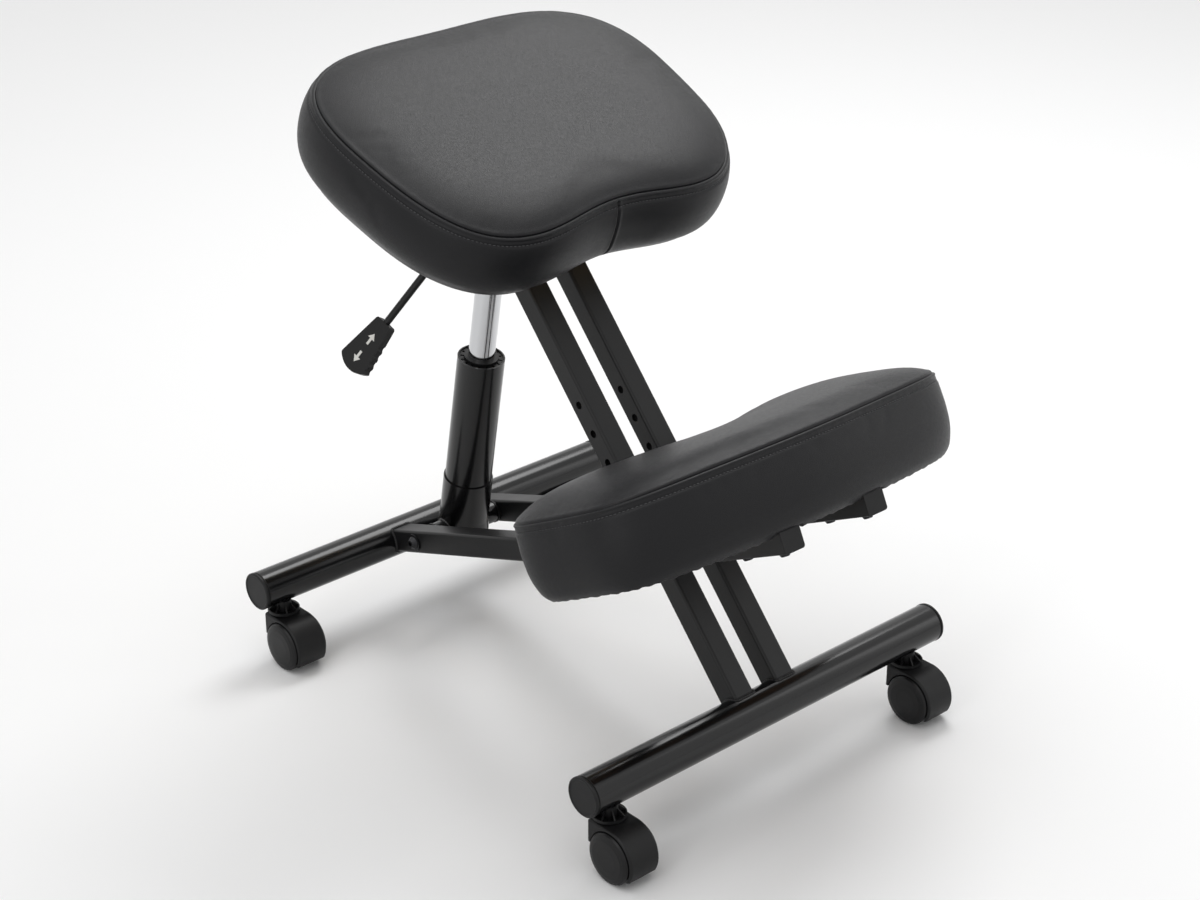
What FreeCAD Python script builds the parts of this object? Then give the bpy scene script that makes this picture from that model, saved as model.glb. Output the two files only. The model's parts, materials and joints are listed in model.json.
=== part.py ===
import FreeCAD
import Part
import math
import os

V = FreeCAD.Vector
LATERAL = V(1, 0, 0)
UP = V(0, 0, 1)

# Clearances
seat_gap = 0.05
face_gap = 0.3
running_fit = 0.05

# Base tubes, one across the front and one across the rear
base_tube_length = 466.0
base_tube_diameter = 40.0
base_tube_wall = 1.8
base_tube_spacing = 512.8
cap_proud = 5.0
cap_plug_length = 14.0
cap_wall = 2.5
cap_rim_proud = 0.3
cap_rim_round = 1.1
cap_face_dish = 0.7
cap_groove_start = 0.9
cap_groove_width = 1.0
cap_groove_depth = 0.8

# Square tube of the beams and arms
bar_size = 25.0
bar_wall = 1.5
bar_corner = 3.0
beam_gap = 30.0
arm_side_gap = 2.3

# Front frame: two straight beams that rise from the front tube to the seat
beam_slope = 48.3
frame_pivot_on_beam = 182.0
seat_pivot_on_beam = 521.5
beam_end_radius = 14.0
adjust_hole_pitch = 31.5
adjust_hole_count = 5

# Rear frame: two arms that rise from the rear tube, cross the beams and carry the knee pad
rail_slope = 26.2
rail_length = 219.0
column_pivot_on_arm = 54.5
rail_plug_depth = 12.0
rail_plug_lip = 1.6

# Pivot bolts
bolt_diameter = 8.0
bolt_head_diameter = 14.0
bolt_head_height = 4.4
bolt_head_top = 8.0
bolt_socket_width = 5.0
bolt_socket_depth = 2.5
bolt_past_nut = 2.0
washer_diameter = 19.0
washer_thickness = 1.6
nut_width = 13.0
nut_height = 8.0
nut_collar_height = 2.0
nut_collar_diameter = 11.5
spacer_diameter = 14.0
seat_pivot_clearance = 0.8

# Gas column
column_lean = 10.2
column_tube_diameter = 50.0
column_tube_wall = 1.6
column_tube_start = 14.5
column_tube_end = 213.7
column_floor_height = 5.5
column_floor_thickness = 3.0
socket_wall = 1.5
socket_rim = 63.0
socket_foot = -8.0
socket_flare = 1.5
cross_tube_diameter = 24.0
bush_diameter = 16.0
bush_flange_thickness = 2.0
bush_flange_proud = 0.75
bush_length = 18.0
guide_length = 63.0
guide_recess = 1.5
guide_lip_width = 4.0
guide_notch_count = 16
guide_notch_width = 2.4
guide_notch_depth = 2.0
guide_notch_inset = 1.2
cylinder_diameter = 28.0
cylinder_wall = 2.0
cylinder_start = 112.0
cylinder_top_wall = 9.0
cylinder_edge = 0.6
cylinder_past_hub = 1.0
cylinder_taper = 0.02
cylinder_cap_length = 10.0
piston_rod_diameter = 10.0
piston_length = 8.0
piston_above_cap = 4.0
rod_end_below_floor = 4.5
rod_groove_depth = 1.0
clip_diameter = 18.0
clip_thickness = 1.8
clip_opening = 5.0
buffer_diameter = 30.0
buffer_height = 8.0
release_pin_diameter = 8.0
release_pin_length = 34.0

# Seat bracket, folded from sheet, in the seat's own frame
seat_tilt = 21.07
seat_pivot_back = -33.1
seat_pivot_down = 38.6
bracket_sheet = 2.5
bracket_depth = 36.0
bracket_rear = 75.0
bracket_web_front = -14.0
bracket_flange_edge = 75.0
ear_radius = 14.0
hub_diameter = 40.0
hub_length = 46.0
hub_above_web = 3.0
hub_edge = 1.0
seat_bolt_x = 60.0
seat_bolt_rear = 60.0
seat_bolt_front = -35.0

# Height lever
lever_pin_x = -31.0
lever_pin_down = 14.5
lever_pin_diameter = 6.0
lever_pin_past_lug = 1.5
lever_lug_margin = 1.5
lever_plane = 2.4
lever_barrel_diameter = 10.0
lever_barrel_length = 35.0
lever_barrel_middle = 9.5
lever_rod_diameter = 7.5
lever_bend_x = -37.6
lever_bend_radius = 8.0
lever_droop = 55.9
lever_reach = 156.0
lever_grip_depth = 26.0
lever_tongue_thickness = 2.5
lever_tongue_end = 9.0
lever_tongue_rise = 0.8
lever_tongue_width = 30.0
lever_slot_width = 10.5
lever_slot_top = 8.0
lever_slot_bottom = 31.0
paddle_length = 60.0
paddle_narrow = 21.0
paddle_wide = 39.0
paddle_thickness = 9.0
paddle_round = 3.0
paddle_end_bulge = 8.0
ripple_count = 4
ripple_radius = 5.0
ripple_depth = 1.1
ripple_start = 22.0
ripple_pitch = 8.7

# Boards and their fasteners
board_thickness = 12.0
board_inset = 17.0
small_bolt_diameter = 6.0
small_head_diameter = 12.0
small_head_height = 3.6
small_head_top = 8.6
small_socket_width = 3.6
small_socket_depth = 1.8
small_bolt_grip = 10.5
small_hole_past_bolt = 0.5
knee_screw_rear = 65.0
knee_screw_front = 14.0

# Cushions: each is an outline, a side profile and a crown
seat_cushion = dict(half_width=197.8, half_depth=159.0, taper=0.069, power_x=3.40, power_s=2.82,
                    front_dip=28.1, front_dip_width=97.3, rear_dip=4.24, rear_dip_width=108.5,
                    height=78.9, bulge=10.0, bulge_at=0.43, draw_in=7.4, crown=12.0,
                    crown_power=7.0, end_fall=0.0, front_fall=5.5, below_board=3.0)
knee_cushion = dict(half_width=226.5, half_depth=107.0, taper=0.06, power_x=2.8, power_s=4.3,
                    front_dip=-6.8, front_dip_width=83.0, rear_dip=80.0, rear_dip_width=134.0,
                    height=80.4, bulge=3.4, bulge_at=0.43, draw_in=9.7, crown=15.5,
                    crown_power=7.9, end_fall=4.2, front_fall=0.0, below_board=6.0)
front_fall_reach = 60.0
front_fall_at = 150.0
crown_rings = (0.985, 0.955, 0.9, 0.8, 0.62)
flat_ring = 0.3
knee_pad_on_rail = 119.0
outline_arcs = 28

# Casters
caster_height = 69.6
caster_inset = 28.0
caster_trail = 20.25
wheel_radius = 26.0
wheel_outer_face = 22.6
wheel_inner_face = 8.4
wheel_edge = 4.0
wheel_recess = 5.0
wheel_hub_wall = 5.0
wheel_rim = 4.0
wheel_rim_inset = 1.0
wheel_tread_edge = 1.2
wheel_draft = 2.0
wheel_dome = 0.35
axle_diameter = 6.0
axle_half_length = 19.0
hood_radius = 29.5
hood_clearance = 1.3
hood_half_width = 18.0
hood_back = 10.5
hood_top = 55.5
hood_front_edge = 11.0
hood_back_edge = 31.0
hood_round = 2.5
hood_corner = 2.0
web_half_width = 3.0
stem_boss_diameter = 15.0
stem_boss_below = 3.0
stem_diameter = 11.0
stem_bottom = 26.0
stem_above_tube = 34.0
stem_nose = 2.0
stem_groove_depth = 0.8
stem_groove_width = 3.0
stem_groove_below_top = 9.0
dish_diameter = 34.0
dish_thickness = 3.0
dish_bottom = 56.5
dish_rim = 1.5
dish_depth = 1.4
neck_diameter = 17.0
dish_rib_count = 8
dish_rib_thickness = 1.4
dish_rib_drop = 2.0
socket_sleeve_wall = 1.5

# Places worked out from the sizes, in millimetres with y = 0 midway between the base tubes
tube_radius = base_tube_diameter / 2
base_height = caster_height + tube_radius
half_base = base_tube_length / 2
front_axis = V(0, -base_tube_spacing / 2, base_height)
rear_axis = V(0, base_tube_spacing / 2, base_height)
beam_x = (beam_gap + bar_size) / 2
arm_x = beam_x + bar_size + arm_side_gap
arm_inner = arm_x - bar_size / 2
arm_outer = arm_x + bar_size / 2
beam_outer = beam_x + bar_size / 2


def slope(angle, forward=False):
    """Unit vector in the side plane that rises at an angle, to the rear or forward."""
    side = -1 if forward else 1
    return V(0, side * math.cos(math.radians(angle)), math.sin(math.radians(angle)))


beam_along = slope(beam_slope)
rail_along = slope(rail_slope, forward=True)
frame_pivot = front_axis + beam_along * frame_pivot_on_beam
seat_pivot = front_axis + beam_along * seat_pivot_on_beam
arm_along = (frame_pivot - rear_axis).normalize()
column_pivot = rear_axis + arm_along * column_pivot_on_arm
column_along = slope(90 - column_lean, forward=True)
rail_end = frame_pivot + rail_along * rail_length

seat_turn = FreeCAD.Rotation(LATERAL, seat_tilt)
seat_back = seat_turn.multVec(V(0, 1, 0))
seat_normal = seat_turn.multVec(V(0, 0, 1))
seat_origin = seat_pivot - seat_back * seat_pivot_back + seat_normal * seat_pivot_down
seat_place = FreeCAD.Placement(seat_origin, seat_turn)

knee_turn = FreeCAD.Rotation(LATERAL, -rail_slope)
knee_normal = knee_turn.multVec(V(0, 0, 1))
knee_origin = frame_pivot + rail_along * knee_pad_on_rail + knee_normal * (bar_size / 2)
knee_place = FreeCAD.Placement(knee_origin, knee_turn)

column_place = FreeCAD.Placement(column_pivot, FreeCAD.Rotation(LATERAL, column_lean))
column_floor = column_tube_start + column_floor_height
lever_pin_axis = V(lever_pin_x, 0, -lever_pin_down)
tongue_underside = lever_tongue_rise - lever_pin_down
axle_height = wheel_radius


def column_crossing(down):
    """Distance up the column at which its axis meets a level of the seat's frame."""
    level = seat_origin - seat_normal * down
    return (level - column_pivot).dot(seat_normal) / column_along.dot(seat_normal)


web_top = bracket_depth - bracket_sheet
hub_top = column_crossing(web_top) + hub_above_web
hub_bottom = hub_top - hub_length
pin_dome_middle = column_crossing(-tongue_underside + face_gap + release_pin_diameter / 2)


def put(shape, place):
    """A copy of a shape, moved from a local frame to the chair's frame."""
    return shape.transformed(place.toMatrix(), True)


def rod(diameter, start, end):
    """Round bar between two points."""
    return Part.makeCylinder(diameter / 2, (end - start).Length, start, end - start)


def pipe(outer, bore, start, end):
    """Round bar with a bore."""
    return rod(outer, start, end).cut(rod(bore, start, end))


def block(x0, x1, y0, y1, z0, z1):
    """Rectangular block between two corners."""
    return Part.makeBox(x1 - x0, y1 - y0, z1 - z0, V(x0, y0, z0))


def side_plate(points, x0, x1):
    """Plate cut to an outline in the side plane. A point that starts with None is on an arc."""
    edges = []
    ends = points + [points[0]]
    index = 0
    while index < len(ends) - 1:
        here = V(x0, *ends[index])
        if ends[index + 1][0] is None:
            middle = V(x0, *ends[index + 1][1:])
            edges.append(Part.Arc(here, middle, V(x0, *ends[index + 2])).toShape())
            index += 2
        else:
            edges.append(Part.LineSegment(here, V(x0, *ends[index + 1])).toShape())
            index += 1
    return Part.Face(Part.Wire(edges)).extrude(V(x1 - x0, 0, 0))


def revolved(points, axis_point, axis):
    """Solid of revolution from a closed outline."""
    wire = Part.makePolygon(points + [points[0]])
    return Part.Face(wire).revolve(axis_point, axis, 360)


def joined(shapes):
    """One solid from touching shapes."""
    first = shapes[0]
    return first.fuse(shapes[1:]).removeSplitter()


def hexagon(width, start, end):
    """Six-sided bar, as of a nut or a hexagon socket, across the flats."""
    axis = (end - start).normalize()
    radius = width / math.sqrt(3)
    up = axis.cross(V(0, 0.6, 0.8)).normalize()
    side = axis.cross(up)
    corners = []
    for step in range(7):
        angle = math.radians(60 * step)
        corners.append(start + up * (radius * math.cos(angle)) + side * (radius * math.sin(angle)))
    return Part.Face(Part.makePolygon(corners)).extrude(end - start)


def bar_outline(centre, across, size, corner):
    """Square with rounded corners, square to a path that lies in the side plane."""
    half = size / 2
    flat = half - corner
    points = []
    edges = []
    for quarter in range(4):
        turn = math.radians(90 * quarter)
        for u, w in ((half, -flat), (half, flat), (flat + corner * math.sqrt(0.5),) * 2):
            x = u * math.cos(turn) - w * math.sin(turn)
            r = u * math.sin(turn) + w * math.cos(turn)
            points.append(centre + LATERAL * x + across * r)
    for quarter in range(4):
        a, b, bend = points[3 * quarter:3 * quarter + 3]
        after = points[(3 * quarter + 3) % 12]
        edges.append(Part.LineSegment(a, b).toShape())
        edges.append(Part.Arc(b, bend, after).toShape())
    return Part.Wire(edges)


def square_tube(path):
    """Hollow square tube along straight runs in the side plane, mitred at the bends."""
    runs = []
    for a, b in zip(path, path[1:]):
        runs.append(Part.LineSegment(a, b).toShape())
    spine = Part.Wire(runs)
    across = (path[1] - path[0]).cross(LATERAL).normalize()
    skins = []
    for size, corner in ((bar_size, bar_corner), (bar_size - 2 * bar_wall, bar_corner - bar_wall)):
        outline = bar_outline(path[0], across, size, corner)
        skins.append(spine.makePipeShell([outline], True, False, 1))
    return skins[0].cut(skins[1])


def cross_hole(centre, diameter, reach):
    """Round cutter from side to side of the chair."""
    return rod(diameter, centre - LATERAL * reach, centre + LATERAL * reach)


# Base tubes, their end caps and the sleeves that the caster stems plug into
def base_tube(axis):
    start = axis - LATERAL * half_base
    end = axis + LATERAL * half_base
    tube = pipe(base_tube_diameter, base_tube_diameter - 2 * base_tube_wall, start, end)
    sleeve = stem_diameter + 2 * socket_sleeve_wall + 2 * seat_gap
    for side in (-1, 1):
        foot = axis + LATERAL * (side * (half_base - caster_inset)) - UP * (tube_radius + 1)
        tube = tube.cut(rod(sleeve, foot, foot + UP * tube_radius))
    return tube


def stem_sockets(axis):
    inner_radius = tube_radius - base_tube_wall
    outer = stem_diameter + 2 * socket_sleeve_wall
    top = math.sqrt(inner_radius ** 2 - (outer / 2) ** 2) - seat_gap
    sleeves = []
    for side in (-1, 1):
        centre = axis + LATERAL * (side * (half_base - caster_inset))
        bore = stem_diameter + 2 * running_fit
        sleeves.append(pipe(outer, bore, centre - UP * tube_radius, centre + UP * top))
    return Part.makeCompound(sleeves)


def end_cap(axis, side):
    """Moulded plug with a rounded rim, a groove behind it and a dished face."""
    inner = tube_radius - base_tube_wall - seat_gap
    bore = inner - cap_wall
    rim = tube_radius + cap_rim_proud
    groove = tube_radius - cap_groove_depth
    groove_end = cap_groove_start + cap_groove_width
    face = cap_proud - cap_face_dish
    profile = [(-cap_plug_length, bore), (-cap_plug_length, inner), (0, inner), (0, tube_radius),
               (cap_groove_start, tube_radius), (cap_groove_start, groove), (groove_end, groove),
               (groove_end, rim), (cap_proud - cap_rim_round, rim),
               (cap_proud - 0.27 * cap_rim_round, rim - 0.73 * cap_rim_round),
               (cap_proud, rim - 1.8 * cap_rim_round), (face, rim - 2.7 * cap_rim_round),
               (face, 0), (face - cap_wall, 0), (face - cap_wall, bore)]
    end = axis + LATERAL * (side * half_base)
    points = []
    for out, radius in profile:
        points.append(end + LATERAL * (side * out) + UP * radius)
    return revolved(points, end, LATERAL)


# Front frame
def beam(side):
    offset = LATERAL * (side * beam_x)
    path = [front_axis + offset, seat_pivot + beam_along * beam_end_radius + offset]
    tube = square_tube(path)
    tube = tube.cut(cross_hole(front_axis, base_tube_diameter + 2 * seat_gap, half_base))
    long_part = side_plate([(-bar_size, 0), (-bar_size, seat_pivot_on_beam),
                            (bar_size, seat_pivot_on_beam), (bar_size, 0)], -bar_size, bar_size)
    turn = FreeCAD.Placement(front_axis + offset, FreeCAD.Rotation(LATERAL, beam_slope - 90))
    rounded = put(long_part, turn).fuse(rod(2 * beam_end_radius, seat_pivot + offset - LATERAL * bar_size,
                                            seat_pivot + offset + LATERAL * bar_size))
    tube = tube.common(rounded)
    hole = bolt_diameter + 2 * running_fit
    for step in range(adjust_hole_count + 1):
        centre = frame_pivot + beam_along * (step * adjust_hole_pitch)
        tube = tube.cut(cross_hole(centre, hole, arm_outer))
    return tube.cut(cross_hole(seat_pivot, bolt_diameter + 2 * seat_pivot_clearance, arm_outer))


def beam_spacers():
    reach = LATERAL * (beam_gap / 2 - face_gap / 2)
    lower = pipe(spacer_diameter, bolt_diameter + 2 * running_fit, frame_pivot - reach, frame_pivot + reach)
    upper = pipe(spacer_diameter, bolt_diameter + 2 * seat_pivot_clearance, seat_pivot - reach,
                 seat_pivot + reach)
    return Part.makeCompound([lower, upper])


# Rear frame
def knee_screw_places():
    places = []
    for side in (-1, 1):
        for back in (knee_screw_front, knee_screw_rear):
            places.append(rail_end - rail_along * back + LATERAL * (side * arm_x))
    return places


def arm(side):
    offset = LATERAL * (side * arm_x)
    tube = square_tube([rear_axis + offset, frame_pivot + offset, rail_end + offset])
    tube = tube.cut(cross_hole(rear_axis, base_tube_diameter + 2 * seat_gap, half_base))
    for pivot in (frame_pivot, column_pivot):
        tube = tube.cut(cross_hole(pivot, bolt_diameter + 2 * running_fit, half_base))
    for place in knee_screw_places():
        hole = small_bolt_diameter + 2 * seat_gap
        tube = tube.cut(rod(hole, place - knee_normal * bar_size, place + knee_normal * bar_size))
    return tube


def rail_plugs():
    """Flat plastic plugs in the front ends of the rails."""
    plugs = []
    inner = bar_size - 2 * bar_wall - 2 * seat_gap
    across = rail_along.cross(LATERAL).normalize()
    for side in (-1, 1):
        end = rail_end + LATERAL * (side * arm_x)
        core = Part.Face(bar_outline(end, across, inner, bar_corner - bar_wall))
        lip = Part.Face(bar_outline(end, across, bar_size, bar_corner))
        plug = joined([core.extrude(-rail_along * rail_plug_depth), lip.extrude(rail_along * rail_plug_lip)])
        screw = end - rail_along * knee_screw_front
        plugs.append(plug.cut(rod(small_bolt_diameter + 2, screw - knee_normal * bar_size,
                                  screw + knee_normal * bar_size)))
    return Part.makeCompound(plugs)


# Pivot hardware
def pivot_bolt(pivot, grip):
    """Button-head bolt: grip is from the middle of the chair to the face under each washer."""
    under_head = pivot - LATERAL * (grip + washer_thickness)
    end = pivot + LATERAL * (grip + washer_thickness + nut_height + bolt_past_nut)
    head_end = under_head - LATERAL * bolt_head_height
    dome = Part.makeCone(bolt_head_diameter / 2, bolt_head_top / 2, bolt_head_height, under_head, -LATERAL)
    bolt = joined([rod(bolt_diameter, under_head, end), dome])
    return bolt.cut(hexagon(bolt_socket_width, head_end, head_end + LATERAL * bolt_socket_depth))


def lock_nut(pivot, grip):
    start = pivot + LATERAL * (grip + washer_thickness)
    end = start + LATERAL * nut_height
    collar = end - LATERAL * nut_collar_height
    body = joined([hexagon(nut_width, start, collar), rod(nut_collar_diameter, collar, end)])
    return body.cut(rod(bolt_diameter + 2 * seat_gap, start, end))


def washers(pivot, grip):
    pair = []
    for side in (-1, 1):
        start = pivot + LATERAL * (side * grip)
        end = start + LATERAL * (side * washer_thickness)
        pair.append(pipe(washer_diameter, bolt_diameter + 2 * seat_gap, start, end))
    return pair


def beam_washers():
    pair = []
    for side in (-1, 1):
        start = frame_pivot + LATERAL * (side * (beam_outer + face_gap))
        end = frame_pivot + LATERAL * (side * arm_inner)
        pair.append(pipe(washer_diameter, bolt_diameter + 2 * seat_gap, start, end))
    return Part.makeCompound(pair)


# Gas column, in a frame with its foot pivot at the origin and its axis upwards
def on_column(height):
    return V(0, 0, height)


def pivot_tube_reach():
    """Half the length of the column's pivot tube, between the bushes' flanges."""
    return arm_inner - face_gap - bush_flange_thickness


def column_socket():
    """Cup with a flared foot, cut out for the pivot tube that is welded across it."""
    outer = column_tube_diameter / 2 + seat_gap + socket_wall
    foot = outer + socket_flare
    bore = column_tube_diameter / 2 + seat_gap
    flare_top = cross_tube_diameter / 2
    cup = revolved([V(0, 0, socket_foot), V(foot, 0, socket_foot), V(foot, 0, 0), V(outer, 0, flare_top),
                    V(outer, 0, socket_rim), V(bore, 0, socket_rim), V(bore, 0, column_tube_start),
                    V(0, 0, column_tube_start)], V(0, 0, 0), UP)
    return cup.cut(cross_hole(V(0, 0, 0), cross_tube_diameter + 2 * seat_gap, pivot_tube_reach()))


def column_pivot_tube():
    reach = pivot_tube_reach()
    return pipe(cross_tube_diameter, bush_diameter + 2 * seat_gap, V(-reach, 0, 0), V(reach, 0, 0))


def pivot_bushes():
    """Flanged nylon bushes, one in each end of the pivot tube."""
    pair = []
    flange = arm_inner - face_gap
    shoulder = flange - bush_flange_thickness
    for side in (-1, 1):
        body = rod(bush_diameter, V(side * (shoulder - bush_length), 0, 0), V(side * shoulder, 0, 0))
        rim_diameter = cross_tube_diameter + 2 * bush_flange_proud
        rim = rod(rim_diameter, V(side * shoulder, 0, 0), V(side * flange, 0, 0))
        bush = joined([body, rim])
        pair.append(bush.cut(cross_hole(V(0, 0, 0), bolt_diameter + 2 * running_fit, arm_outer)))
    return Part.makeCompound(pair)


def column_tube():
    inner = column_tube_diameter - 2 * column_tube_wall
    wall = pipe(column_tube_diameter, inner, on_column(column_tube_start), on_column(column_tube_end))
    floor = rod(column_tube_diameter, on_column(column_floor), on_column(column_floor + column_floor_thickness))
    tube = joined([wall, floor])
    hole = piston_rod_diameter + 2 * seat_gap
    return tube.cut(rod(hole, on_column(column_tube_start), on_column(column_tube_end)))


def guide_bush():
    """Long plastic guide with a notched ring at its mouth."""
    top = column_tube_end - guide_recess
    outer = column_tube_diameter - 2 * column_tube_wall - 2 * seat_gap
    bore = cylinder_diameter + 2 * running_fit
    bush = pipe(outer, bore, on_column(top - guide_length), on_column(top))
    lip_top = on_column(column_tube_end + guide_recess)
    lip = pipe(bore + 2 * guide_lip_width, bore, on_column(top), lip_top)
    bush = joined([bush, lip])
    middle = outer / 2 - guide_notch_depth - guide_notch_inset
    for step in range(guide_notch_count):
        notch = block(middle - guide_notch_depth, middle + guide_notch_depth, -guide_notch_width / 2,
                      guide_notch_width / 2, top - guide_notch_depth, top + 0.01)
        notch.rotate(V(0, 0, 0), UP, 360 * step / guide_notch_count)
        bush = bush.cut(notch)
    return bush


def piston_rod():
    foot = column_floor - rod_end_below_floor
    top = cylinder_start + cylinder_cap_length + piston_length + piston_above_cap
    groove = column_floor - seat_gap
    body = rod(piston_rod_diameter, on_column(foot), on_column(top))
    bore = cylinder_diameter - 2 * cylinder_wall
    piston = rod(bore - 2 * running_fit, on_column(top - piston_length), on_column(top))
    neck = pipe(piston_rod_diameter + 1, piston_rod_diameter - 2 * rod_groove_depth,
                on_column(groove - clip_thickness), on_column(groove))
    return joined([body, piston]).cut(neck)


def rod_clip():
    """Open spring clip under the column floor."""
    top = column_floor - 2 * seat_gap
    bottom = top - clip_thickness + 2 * seat_gap
    bore = piston_rod_diameter - 2 * rod_groove_depth + 2 * seat_gap
    ring = pipe(clip_diameter, bore, on_column(bottom), on_column(top))
    opening = block(-clip_opening / 2, clip_opening / 2, 0, clip_diameter, bottom - 1, top + 1)
    return ring.cut(opening)


def column_buffer():
    foot = column_floor + column_floor_thickness
    return pipe(buffer_diameter, piston_rod_diameter + 2 * face_gap, on_column(foot),
                on_column(foot + buffer_height))


def taper_radius(height):
    """Outer radius of the cylinder's head, which narrows upwards in the hub."""
    return cylinder_diameter / 2 - max(0.0, height - hub_bottom) * cylinder_taper


def chrome_cylinder():
    radius = cylinder_diameter / 2
    bore = radius - cylinder_wall
    top = hub_top + cylinder_past_hub
    pin = release_pin_diameter / 2 + running_fit
    edge = cylinder_edge
    outline = [(bore, cylinder_start), (radius - edge, cylinder_start), (radius, cylinder_start + edge),
               (radius, hub_bottom), (taper_radius(top), top), (pin, top), (pin, top - cylinder_top_wall),
               (bore, top - cylinder_top_wall)]
    return revolved([V(r, 0, z) for r, z in outline], V(0, 0, 0), UP)


def cylinder_cap():
    outer = cylinder_diameter - 2 * cylinder_wall - 2 * seat_gap
    bore = piston_rod_diameter + 2 * running_fit
    return pipe(outer, bore, on_column(cylinder_start), on_column(cylinder_start + cylinder_cap_length))


def cylinder_hub():
    """Welded steel hub whose tapered bore grips the cylinder's head."""
    radius = hub_diameter / 2
    outline = [(taper_radius(hub_bottom) + seat_gap, hub_bottom), (radius - hub_edge, hub_bottom),
               (radius, hub_bottom + hub_edge), (radius, hub_top - hub_edge), (radius - hub_edge, hub_top),
               (taper_radius(hub_top) + seat_gap, hub_top)]
    return revolved([V(r, 0, z) for r, z in outline], V(0, 0, 0), UP)


def release_pin():
    radius = release_pin_diameter / 2
    foot = on_column(pin_dome_middle - release_pin_length)
    shaft = rod(release_pin_diameter, foot, on_column(pin_dome_middle))
    return joined([shaft, Part.makeSphere(radius, on_column(pin_dome_middle))])


# Seat bracket and its bolts, in the seat's frame: y runs to the rear and z = 0 is under the board
def bracket_wall_x():
    return arm_inner - arm_side_gap + face_gap * 2


def seat_bracket():
    """Folded channel with ears for the pivot, flanges for the board and lugs for the lever."""
    inner = bracket_wall_x()
    outer = inner + bracket_sheet
    ear = seat_pivot_back
    front = ear - ear_radius
    parts = []
    for side in (-1, 1):
        outline = [(front, 0), (front, -seat_pivot_down),
                   (None, ear, -seat_pivot_down - ear_radius), (ear + ear_radius, -seat_pivot_down),
                   (bracket_web_front, -bracket_depth), (bracket_rear, -bracket_depth), (bracket_rear, 0)]
        x0, x1 = sorted((side * inner, side * outer))
        parts.append(side_plate(outline, x0, x1))
        x0, x1 = sorted((side * inner, side * bracket_flange_edge))
        parts.append(block(x0, x1, front, bracket_rear, -bracket_sheet, 0))
    parts.append(block(-inner, inner, bracket_web_front, bracket_rear, -bracket_depth, -web_top))
    half = lever_barrel_length / 2 + face_gap
    lug_top = lever_pin_down - lever_barrel_diameter / 2
    for end in (lever_barrel_middle - half - bracket_sheet, lever_barrel_middle + half):
        width = lever_barrel_diameter / 2 + lever_lug_margin
        parts.append(block(lever_pin_x - width, lever_pin_x + width, end, end + bracket_sheet,
                           -web_top, -lug_top))
    bracket = joined(parts)
    hub_hole = rod(hub_diameter + 2 * seat_gap, on_column(hub_bottom), on_column(hub_top + hub_diameter))
    bracket = bracket.cut(put(hub_hole, seat_place.inverse().multiply(column_place)))
    bracket = bracket.cut(cross_hole(V(0, seat_pivot_back, -seat_pivot_down), bolt_diameter + 2 * seat_gap,
                                     bracket_flange_edge))
    pin_hole = rod(lever_pin_diameter + 2 * seat_gap, lever_pin_axis - V(0, bracket_rear, 0),
                   lever_pin_axis + V(0, bracket_rear, 0))
    bracket = bracket.cut(pin_hole)
    slot = block(-outer - 1, -inner + 1, lever_plane - lever_slot_width / 2,
                 lever_plane + lever_slot_width / 2, -lever_slot_bottom, -lever_slot_top)
    bracket = bracket.cut(slot)
    for place in seat_bolt_places():
        bracket = bracket.cut(rod(small_bolt_diameter + 2 * seat_gap, place - UP * bar_size, place + UP))
    return bracket


def seat_bolt_places():
    places = []
    for side in (-1, 1):
        for back in (seat_bolt_front, seat_bolt_rear):
            places.append(V(side * seat_bolt_x, back, 0))
    return places


def board_bolt(place, below):
    """Pan-head bolt that comes up into a board from a face some way below it."""
    face = place - UP * below
    start = face - UP * small_head_height
    head = Part.makeCone(small_head_top / 2, small_head_diameter / 2, small_head_height, start)
    bolt = joined([rod(small_bolt_diameter, face, place + UP * small_bolt_grip), head])
    return bolt.cut(hexagon(small_socket_width, start, start + UP * small_socket_depth))


# Lever, in the seat's frame
lever_outward = V(-math.cos(math.radians(lever_droop)), 0, -math.sin(math.radians(lever_droop)))
lever_bend = V(lever_bend_x, lever_plane, -lever_pin_down)
grip_start = lever_bend + lever_outward * lever_reach


def lever_rod():
    """Bent rod welded to a barrel on the pin, with a flat tongue over the release pin."""
    start = V(lever_pin_x, lever_plane, -lever_pin_down)
    tangent = lever_bend_radius * math.tan(math.radians(lever_droop / 2))
    inward = lever_bend + LATERAL * tangent
    outward = lever_bend + lever_outward * tangent
    centre = inward - UP * lever_bend_radius
    middle = centre + (lever_bend - centre).normalize() * lever_bend_radius
    end = grip_start + lever_outward * lever_grip_depth
    path = Part.Wire([Part.LineSegment(start, inward).toShape(), Part.Arc(inward, middle, outward).toShape(),
                      Part.LineSegment(outward, end).toShape()])
    section = Part.Wire(Part.makeCircle(lever_rod_diameter / 2, start, LATERAL))
    bent = path.makePipeShell([section], True, False)
    low = lever_barrel_middle - lever_barrel_length / 2
    high = lever_barrel_middle + lever_barrel_length / 2
    barrel = rod(lever_barrel_diameter, V(lever_pin_x, low, -lever_pin_down),
                 V(lever_pin_x, high, -lever_pin_down))
    half = lever_tongue_width / 2
    tongue = block(lever_pin_x, lever_tongue_end, lever_barrel_middle - half, lever_barrel_middle + half,
                   tongue_underside, tongue_underside + lever_tongue_thickness)
    lever = joined([barrel, bent, tongue])
    bore = lever_pin_diameter + 2 * running_fit
    return lever.cut(rod(bore, V(lever_pin_x, low - 1, -lever_pin_down), V(lever_pin_x, high + 1,
                                                                            -lever_pin_down)))


def lever_pivot_pin():
    half = lever_barrel_length / 2 + face_gap + bracket_sheet + lever_pin_past_lug
    middle = lever_pin_axis + V(0, lever_barrel_middle, 0)
    return rod(lever_pin_diameter, middle - V(0, half, 0), middle + V(0, half, 0))


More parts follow.
